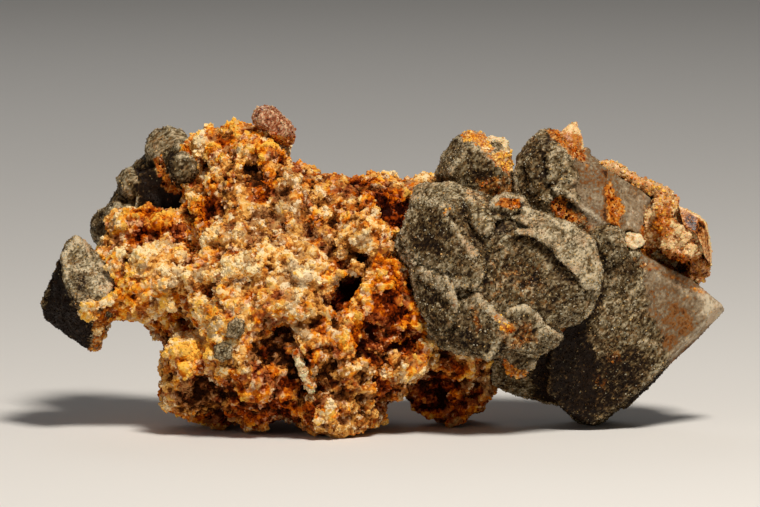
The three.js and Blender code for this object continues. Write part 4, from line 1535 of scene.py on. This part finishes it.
# the smooth prism in the cluster
SMOKY_PRISM = {
    "slot": "stained_quartz",
    "shade": -0.3,
    "alone": [
        (34.5, 27.3, -3.4, 3), (36.9, 26.1, -3.6, 3), (37.9, 25.3, -2.9, 3), (38.5, 22.0, -2.8, 3),
        (38.5, 20.0, -2.6, 3), (37.6, 21.3, -3.9, 3), (37.2, 22.6, -4.6, 3), (36.5, 24.0, -4.8, 3),
        (35.1, 24.8, -4.4, 3),
    ],
    "crumbs": (0.8, 0.35),
    "relief": [("clouds", 2.4, 0.14, 5.0)],
    "patches": [
        line(0.4, (34.6, 27.2), (36.9, 26.1), (37.9, 25.2), (38.5, 22.0), (38.5, 20.0), shade=0.55),
        area((34.6, 26.7), (36.8, 25.5), (37.5, 24.8), (36.7, 24.0), (35.2, 24.6), shade=-0.3),
    ],
}

SPIKE_CRYSTAL = {
    "slot": "stained_quartz",
    "crumbs": (3.0, 0.32),
    "slabs": [
        # its sharp tip
        [(21.3, 34.6, -0.6, 1.2), (22.3, 37.2, 0.4, 0.8), (22.6, 37.1, 0.4, 0.8),
         (23.4, 34.4, -0.6, 1.2)],
    ],
    "relief": [("clouds", 1.6, 0.24, 5.0), ("ridges", 1.2, 0.2, 3.0)],
    "patches": [
        area((20.6, 36.0), (21.8, 36.2), (23.2, 35.6), (24.0, 32.0), (20.4, 32.0), stain=0.66),
        area((21.8, 35.6), (21.6, 37.6), (23.4, 37.0), (23.2, 35.6), shade=0.16),
        line(0.6, (22.6, 36.6), (23.3, 35.2), (23.7, 33.6), shade=0.26),
        area((20.4, 35.0), (21.6, 35.2), (22.2, 34.0), (21.8, 32.8), (20.4, 33.4), shade=-0.45),
    ],
}

BLOCK_QUARTZ = {
    "slot": "pale_quartz",
    "crumbs": (3.0, 0.45),
    "relief": [("clouds", 1.6, 0.6, 5.0), ("domes", 0.7, 0.3, 6.0)],
    "patches": [area((10.4, 34.0), (15.2, 33.8), (15.2, 31.0), (10.4, 31.0), stain=0.5)],
}

PALE_QUARTZ_CHIP = {
    "slot": "pale_quartz",
    "crumbs": (1.0, 0.4),
    "relief": [("clouds", 1.6, 0.5, 5.0), ("ridges", 1.2, 0.3, 6.0)],
    "patches": [area((28.0, 23.4), (29.4, 23.6), (29.6, 21.2), (28.0, 21.2), stain=0.35)],
}

PALE_QUARTZ_BLADE = {
    "slot": "pale_quartz",
    "shrink": 0.62,
    "crumbs": (9.0, 0.55),
    "relief": [("clouds", 2.0, 1.6, 5.0), ("clouds", 0.8, 0.9, 8.0), ("domes", 0.6, 0.3, 6.0)],
    "patches": [
        area((-11.2, 11.8), (-9.0, 11.4), (-8.6, 9.6), (-10.4, 9.4), stain=0.6),
        area((-9.4, 8.2), (-7.6, 8.6), (-6.6, 5.6), (-8.8, 5.6), stain=0.5),
        area((-11.4, 12.4), (-8.4, 12.4), (-6.4, 5.2), (-9.4, 5.2), shade=-0.22),
    ],
}

TOP_KNOB_CRYSTAL = {
    "slot": "brown_crystal",
    "shrink": 0.4,
    "shade": -0.12,
    "domes": [
        ((-12.9, 37.2, -2.4), 0.6, (-15.3, 37.0, 0), (-15.4, 37.8, 0), (-15.0, 38.6, 0),
         (-14.2, 39.1, 0), (-13.2, 39.2, 0), (-12.4, 38.6, 0), (-11.2, 37.4, 0), (-10.4, 36.4, 0),
         (-10.2, 35.0, 0), (-11.0, 34.2, 0), (-12.9, 34.4, 0), (-13.4, 35.6, 0), (-14.6, 36.4, 0)),
    ],
    "crumbs": (9.0, 0.3),
    "relief": [("clouds", 2.0, 0.4, 5.0), ("domes", 0.6, 0.14, 6.0)],
    "patches": [
        area((-15.8, 37.0), (-13.8, 36.2), (-12.0, 35.6), (-10.0, 35.4), (-11.0, 33.6), (-15.8, 34.6),
             stain=0.8),
    ],
}

QUARTZ = {
    "right_quartz_cluster": RIGHT_QUARTZ_CLUSTER,
    "smoky_prism": SMOKY_PRISM,
    "spike_crystal": SPIKE_CRYSTAL,
    "block_quartz": BLOCK_QUARTZ,
    "pale_quartz_chip": PALE_QUARTZ_CHIP,
    "pale_quartz_blade": PALE_QUARTZ_BLADE,
    "top_knob_crystal": TOP_KNOB_CRYSTAL,
}

# The crystals with crumbs of the matrix on them.
CRUMBY = (
    "front_crystal", "foot_crystal", "lower_right_crystal", "upper_right_crystal", "block_crystal",
    "left_end_crystal", "back_left_crystals", "right_quartz_cluster", "top_knob_crystal",
    "pale_quartz_blade",
)

# Where the matrix is stained orange and red, or is clean, (x, v, reach, amount).
MATRIX_STAINS = [
    (-26.5, 26.0, 3.0, 0.78), (-19.5, 34.4, 2.6, 0.6), (-12.8, 33.6, 1.8, 0.6), (1.5, 15.8, 4.0, 0.98),
    (-2.5, 12.0, 3.0, 0.6), (1.0, 27.0, 2.8, 1.0), (-20.0, 26.8, 2.0, 0.85), (-3.8, 17.0, 2.0, 0.45),
    (-18.0, 13.6, 2.6, 0.25), (-13.0, 5.0, 3.2, 0.42), (6.0, 4.5, 3.5, 0.4), (-30.0, 17.4, 2.2, 0.4),
    (-15.5, 35.5, 2.0, 0.4), (-23.0, 10.6, 2.8, 0.92), (-4.0, 30.4, 3.0, 0.48),
    (-26.0, 20.6, 4.0, -0.25), (-15.0, 20.0, 4.0, -0.2), (-8.5, 19.6, 3.0, -0.4),
    (-14.5, 26.0, 2.6, -0.35), (-6.5, 27.5, 2.2, -0.2), (-3.6, 22.4, 2.6, -0.15),
    (-6.5, 4.0, 2.2, -0.3), (-9.6, 12.0, 1.6, -0.35), (-2.6, 1.8, 1.6, -0.3), (2.5, 7.2, 1.6, -0.3),
    (-21.0, 24.4, 1.6, -0.2), (-26.6, 26.2, 2.6, 0.4), (-9.0, 26.6, 3.6, -0.28),
    (-18.0, 32.0, 2.6, -0.3), (-21.6, 5.2, 3.0, -0.8), (-8.0, 6.5, 5.0, -0.15), (0.2, 27.6, 3.2, 0.15),
    (-2.6, 4.6, 2.6, -0.25), (-1.5, 29.5, 3.5, 0.22), (-29.0, 25.6, 3.0, 0.2),
]

# Where it is darker or paler: painted shade in its hollows, pits and vug, and darker or paler stone
# elsewhere.
MATRIX_SHADES = [
    (1.5, 15.8, 4.0, -0.2), (1.0, 27.0, 2.6, -0.3), (-20.2, 26.8, 1.8, -0.26),
    (-15.2, 30.8, 1.8, -0.3), (-3.8, 17.0, 2.0, -0.6), (-21.0, 5.5, 3.0, -0.44),
    (-12.0, 9.6, 1.9, -0.22), (-3.6, 22.4, 2.2, -0.1), (6.0, 4.5, 4.0, -0.3), (-13.0, 3.5, 3.0, -0.16),
    (3.4, 11.0, 1.8, -0.25), (-1.0, 6.0, 3.0, -0.12), (-26.0, 20.6, 4.5, 0.22),
    (-15.0, 20.0, 4.5, 0.16), (-8.5, 19.6, 3.0, 0.2), (-9.6, 12.0, 1.4, 0.14),
    (-19.5, 34.4, 2.2, 0.12), (-6.0, 3.0, 1.6, 0.16), (-2.6, 1.8, 1.4, 0.14), (2.5, 7.2, 1.5, 0.16),
    (-27.0, 26.0, 2.4, 0.1), (-14.5, 26.0, 2.4, 0.08), (-3.0, 30.0, 3.0, -0.14),
    (-17.0, 29.0, 2.0, -0.2), (-7.0, 24.8, 1.4, -0.25), (-26.6, 26.2, 3.0, -0.18),
    (0.0, 27.5, 3.6, -0.22), (0.5, 15.0, 4.5, -0.16), (-8.0, 6.0, 6.0, -0.14),
    (-22.2, 10.6, 3.4, 0.58), (-1.5, 29.5, 3.5, -0.08),
]

# Where cloudy grey knobs gather.
MATRIX_GREYS = [
    (-11.0, 27.0, 2.6, 0.6), (-17.6, 24.0, 1.6, 0.4), (-21.6, 5.6, 3.0, 1.0), (-12.0, 13.4, 1.8, 0.4),
    (-8.0, 24.0, 1.6, 0.4), (-24.0, 18.0, 1.6, 0.3), (-2.6, 4.4, 2.4, 0.5),
]

# The relief of the matrix before and after its knobs are merged in.
MATRIX_TERRAIN = [
    ("clouds", 9.0, 1.8, 1.0),
    ("ridges", 6.0, 1.2, 2.0),
    ("clouds", 3.0, 1.6, 7.0),
    ("pits", 5.0, 1.6, 3.0),
]
MATRIX_GRAIN = [
    ("clouds", 1.4, 0.9, 4.0),
    ("ridges", 2.4, 0.6, 5.0),
    ("pits", 1.8, 0.45, 6.0),
    ("clouds", 0.7, 0.35, 8.0),
]

# The crumbs are in four pieces, each from one x to another in mm.
CRUMB_STRIPS = (
    ("left", -60, -19.0), ("middle_left", -19.0, -8.5), ("middle_right", -8.5, 3.0),
    ("right", 3.0, 60),
)


# ------------------------------------------------------------------ operators


class SPECIMEN_OT_grains(bpy.types.Operator):
    """Make the small grains that the crusts are scattered from, and the materials"""

    bl_idname = "specimen.grains"
    bl_label = "Grains and materials"

    def execute(self, context):
        grain_collection("druse_points", druse_point, 4)
        grain_collection("crumbs", crumb, 5)
        grain_collection("nodules", nodule, 5)
        gossan_material()
        druse_material()
        quartz_material(
            "stained_quartz", (0.13, 0.026, 0.002), (0.50, 0.190, 0.040), (0.86, 0.58, 0.28)
        )
        quartz_material("pale_quartz", (0.38, 0.15, 0.04), (0.72, 0.45, 0.19), (0.88, 0.70, 0.43))
        quartz_material(
            "brown_crystal", (0.14, 0.026, 0.005), (0.34, 0.098, 0.032), (0.80, 0.50, 0.30), size=0.5
        )
        return {"FINISHED"}


class SPECIMEN_OT_crystals(bpy.types.Operator):
    """Model the grey crystals with their crust of druse"""

    bl_idname = "specimen.crystals"
    bl_label = "Grey crystals"

    def execute(self, context):
        for number, node in enumerate(CRYSTALS):
            obj = crusted_crystal(node, seed=10 * number + 1)
            finish_piece(obj, "druse", node)
        return {"FINISHED"}


class SPECIMEN_OT_quartz(bpy.types.Operator):
    """Model the quartz crystals and the brown knob"""

    bl_idname = "specimen.quartz"
    bl_label = "Quartz"

    def execute(self, context):
        for number, (node, plan) in enumerate(QUARTZ.items()):
            if "alone" in plan:
                obj = slab(*plan["alone"])
                obj.name = f"{node}_stone"
            else:
                obj = stone_copy(node)
            shape(obj, plan)
            remesh(obj, QUARTZ_VOXEL)
            if "knobs" in plan:
                per_mm2, width = plan["knobs"]
                paint(obj, "knobby", patch(corners_of(obj), plan["knobby"], back=3.0))
                scatter(obj, "nodules", per_mm2, width * MM, "knobby", seed=40 + number)
                remesh(obj, KNOB_VOXEL)
            relief(obj, plan["relief"], warp_mm=0.2)
            place = mark(obj, plan, number, fine=8, wide=60)
            paint(obj, "rough", np.ones(len(place)))
            per_mm2, width = plan["crumbs"]
            scatter(
                obj, "crumbs", per_mm2, width * MM, "rough", seed=80 + number,
                least=0.4, tilt=3.0,
            )
            finish_piece(obj, plan["slot"], *[node] * ("alone" not in plan))
        return {"FINISHED"}


class SPECIMEN_OT_crumbs(bpy.types.Operator):
    """Scatter crumbs of the matrix over the stained places of the crystals"""

    bl_idname = "specimen.crumbs"
    bl_label = "Crumbs on the crystals"

    def execute(self, context):
        per_mm2, width = CRYSTAL_CRUMBS
        scattered = []
        for number, node in enumerate(CRUMBY):
            crumbs = twin(bpy.data.objects[f"{node}_stone"])
            stain = paint_of(crumbs, "stain")
            paint(crumbs, "crumby", ramp_step(stain, 0.35, 0.8))
            paint(crumbs, "stain", 0.6 * stain)
            # the crumbs take half the painted light and shade of the stone under them, and are a little
            # darker
            paint(crumbs, "shade", 0.5 * paint_of(crumbs, "shade") - 0.12)
            scatter(
                crumbs, "crumbs", per_mm2, width * MM, "crumby", seed=60 + number,
                keep_base=False, least=0.4, tilt=3.0,
            )
            scattered.append(crumbs)
        bpy.ops.object.select_all(action="DESELECT")
        for crumbs in scattered:
            crumbs.select_set(True)
        bpy.context.view_layer.objects.active = scattered[0]
        bpy.ops.object.join()
        whole = bpy.context.active_object
        whole.name = "crystal_crumbs"
        finish_piece(whole, "gossan")
        return {"FINISHED"}


class SPECIMEN_OT_matrix(bpy.types.Operator):
    """Model the crumbly matrix and the grains on it"""

    bl_idname = "specimen.matrix"
    bl_label = "Matrix"

    def execute(self, context):
        settings = context.scene.stones
        obj = stone_copy("matrix")
        for corners in (MATRIX_FILL, MATRIX_WALL, MATRIX_BED, MATRIX_LOBE, MATRIX_TONGUE):
            combine(obj, slab(*corners), "UNION")
        for corners in MATRIX_CUTS:
            combine(obj, pocket(*corners, lean=MATRIX_LEAN), "DIFFERENCE")
        remesh(obj, MATRIX_LUMP_VOXEL)
        press(obj, MATRIX_STROKES)
        place = corners_of(obj)
        for x, z, reach, push in MATRIX_BACK:
            away = np.hypot(place[:, 0] - x, place[:, 2] - z) / reach
            place[:, 1] -= push * np.exp(-(away**2) * 2) * ramp_step(place[:, 1], 2, 8)
        move_corners(obj, place)
        shrink(obj, MATRIX_SHRINK)
        relief(obj, MATRIX_TERRAIN, warp_mm=0.8)
        place = corners_of(obj)
        open_ground = 1 - np.clip(spots(obj, place, MATRIX_HOLLOWS), 0, 1)
        paint(obj, "open", open_ground * ramp_step(place[:, 2], 0.6, 1.6))
        per_mm2, width = MATRIX_NODULES
        scatter(obj, "nodules", per_mm2, width * MM, "open", seed=3, least=0.25)
        remesh(obj, MATRIX_VOXEL)
        relief(obj, MATRIX_GRAIN, warp_mm=0.3)
        hollow(obj, "hollow", reach=5)
        hollow(obj, "deep", reach=90)
        place = corners_of(obj)
        # the lower part gets more stain, and painted shade that darkens it towards the bottom
        low = 1 - ramp_step(place[:, 2], 3, 13)
        paint(obj, "stain", spots(obj, place, MATRIX_STAINS) + 0.15 * low)
        paint(obj, "shade", spots(obj, place, MATRIX_SHADES) - 0.17 * low)
        paint(obj, "grey", spots(obj, place, MATRIX_GREYS))
        speckle(obj, seed=4)
        above_ground = ramp_step(place[:, 2], 0.4, 0.9) * (1 - 0.35 * ramp_step(place[:, 1], 3, 7))
        above_ground[hidden("matrix", place, depth_mm=1.0)] = 0
        settle(obj)
        for side, low, high in CRUMB_STRIPS:
            crumbs = twin(obj)
            crumbs.name = f"matrix_crumbs_{side}"
            here = (place[:, 0] >= low) & (place[:, 0] < high)
            paint(crumbs, "here", here * above_ground)
            scatter(
                crumbs, "crumbs", settings.crumb_density, settings.crumb_size, "here", seed=5,
                keep_base=False, least=0.3, tilt=3.0,
            )
            finish_piece(crumbs, "gossan")
        finish_piece(obj, "gossan", "matrix")
        return {"FINISHED"}


def light(name, place, size, power, colour):
    """An area light that points at the specimen."""
    bpy.ops.object.light_add(type="AREA", location=place)
    lamp = bpy.context.active_object
    lamp.name = name
    lamp.data.size = size
    lamp.data.energy = power
    lamp.data.color = colour
    lamp.rotation_euler = (AIM - Vector(place)).to_track_quat("-Z", "Y").to_euler()


class SPECIMEN_OT_stage(bpy.types.Operator):
    """Set up the floor, the lights and the camera"""

    bl_idname = "specimen.stage"
    bl_label = "Stage"

    def execute(self, context):
        for name in ("druse_points", "crumbs", "nodules"):
            clear_collection(name)
        stage = context.scene.stage
        bpy.ops.object.select_all(action="DESELECT")
        bpy.ops.mesh.primitive_plane_add(size=6.0)
        floor = context.active_object
        floor.name = "floor"
        _, bsdf, _ = shader("floor")
        bsdf.inputs["Base Color"].default_value = (*stage.floor_colour, 1)
        bsdf.inputs["Roughness"].default_value = 0.9
        floor.data.materials.append(bpy.data.materials["floor_finish"])
        light("key", (0.12, -0.26, 0.46), 0.11, 2.9, (1.0, 0.93, 0.84))
        light("fill", (-0.45, -0.35, 0.22), 0.4, 0.24, (1.0, 0.97, 0.93))
        light("rim", (-0.1, 0.45, 0.4), 0.3, 0.25, (1.0, 1.0, 1.0))
        world = context.scene.world or bpy.data.worlds.new("studio")
        context.scene.world = world
        world.use_nodes = True
        sky = world.node_tree.nodes["Background"]
        sky.inputs["Color"].default_value = (0.9, 0.9, 0.9, 1)
        sky.inputs["Strength"].default_value = 0.06
        elevation = stage.camera_height
        distance = stage.view_width / SENSOR_WIDTH * stage.camera_lens
        target = Vector((-0.35 * MM, 0, 20.6 * MM))
        way = Vector((0, -math.cos(elevation), math.sin(elevation)))
        bpy.ops.object.camera_add(location=target + way * distance)
        camera = context.active_object
        camera.rotation_euler = (-way).to_track_quat("-Z", "Y").to_euler()
        camera.data.lens = stage.camera_lens
        camera.data.sensor_width = SENSOR_WIDTH
        camera.data.clip_end = 10.0
        context.scene.camera = camera
        context.scene.view_settings.view_transform = "Standard"
        return {"FINISHED"}


class SPECIMEN_PT_panel(bpy.types.Panel):
    """The specimen's steps and settings in the sidebar"""

    bl_label = "Stolzite specimen"
    bl_idname = "SPECIMEN_PT_panel"
    bl_space_type = "VIEW_3D"
    bl_region_type = "UI"
    bl_category = "Specimen"

    def draw(self, context):
        for settings in (context.scene.stones, context.scene.stage):
            for key in settings.__annotations__:
                self.layout.prop(settings, key)
        for step in STEPS:
            self.layout.operator(step.bl_idname)


STEPS = (
    SPECIMEN_OT_grains,
    SPECIMEN_OT_crystals,
    SPECIMEN_OT_quartz,
    SPECIMEN_OT_matrix,
    SPECIMEN_OT_crumbs,
    SPECIMEN_OT_stage,
)
CLASSES = (StoneSettings, StageSettings, *STEPS, SPECIMEN_PT_panel)


def register():
    """Adds the panel, the steps and their settings."""
    for cls in CLASSES:
        bpy.utils.register_class(cls)
    bpy.types.Scene.stones = bpy.props.PointerProperty(type=StoneSettings)
    bpy.types.Scene.stage = bpy.props.PointerProperty(type=StageSettings)


def unregister():
    """Takes them away."""
    del bpy.types.Scene.stones
    del bpy.types.Scene.stage
    for cls in reversed(CLASSES):
        bpy.utils.unregister_class(cls)


def main():
    """Builds the specimen."""
    register()
    bpy.ops.specimen.grains()
    bpy.ops.specimen.crystals()
    bpy.ops.specimen.quartz()
    bpy.ops.specimen.matrix()
    bpy.ops.specimen.crumbs()
    bpy.ops.specimen.stage()


if __name__ == "__main__":
    main()
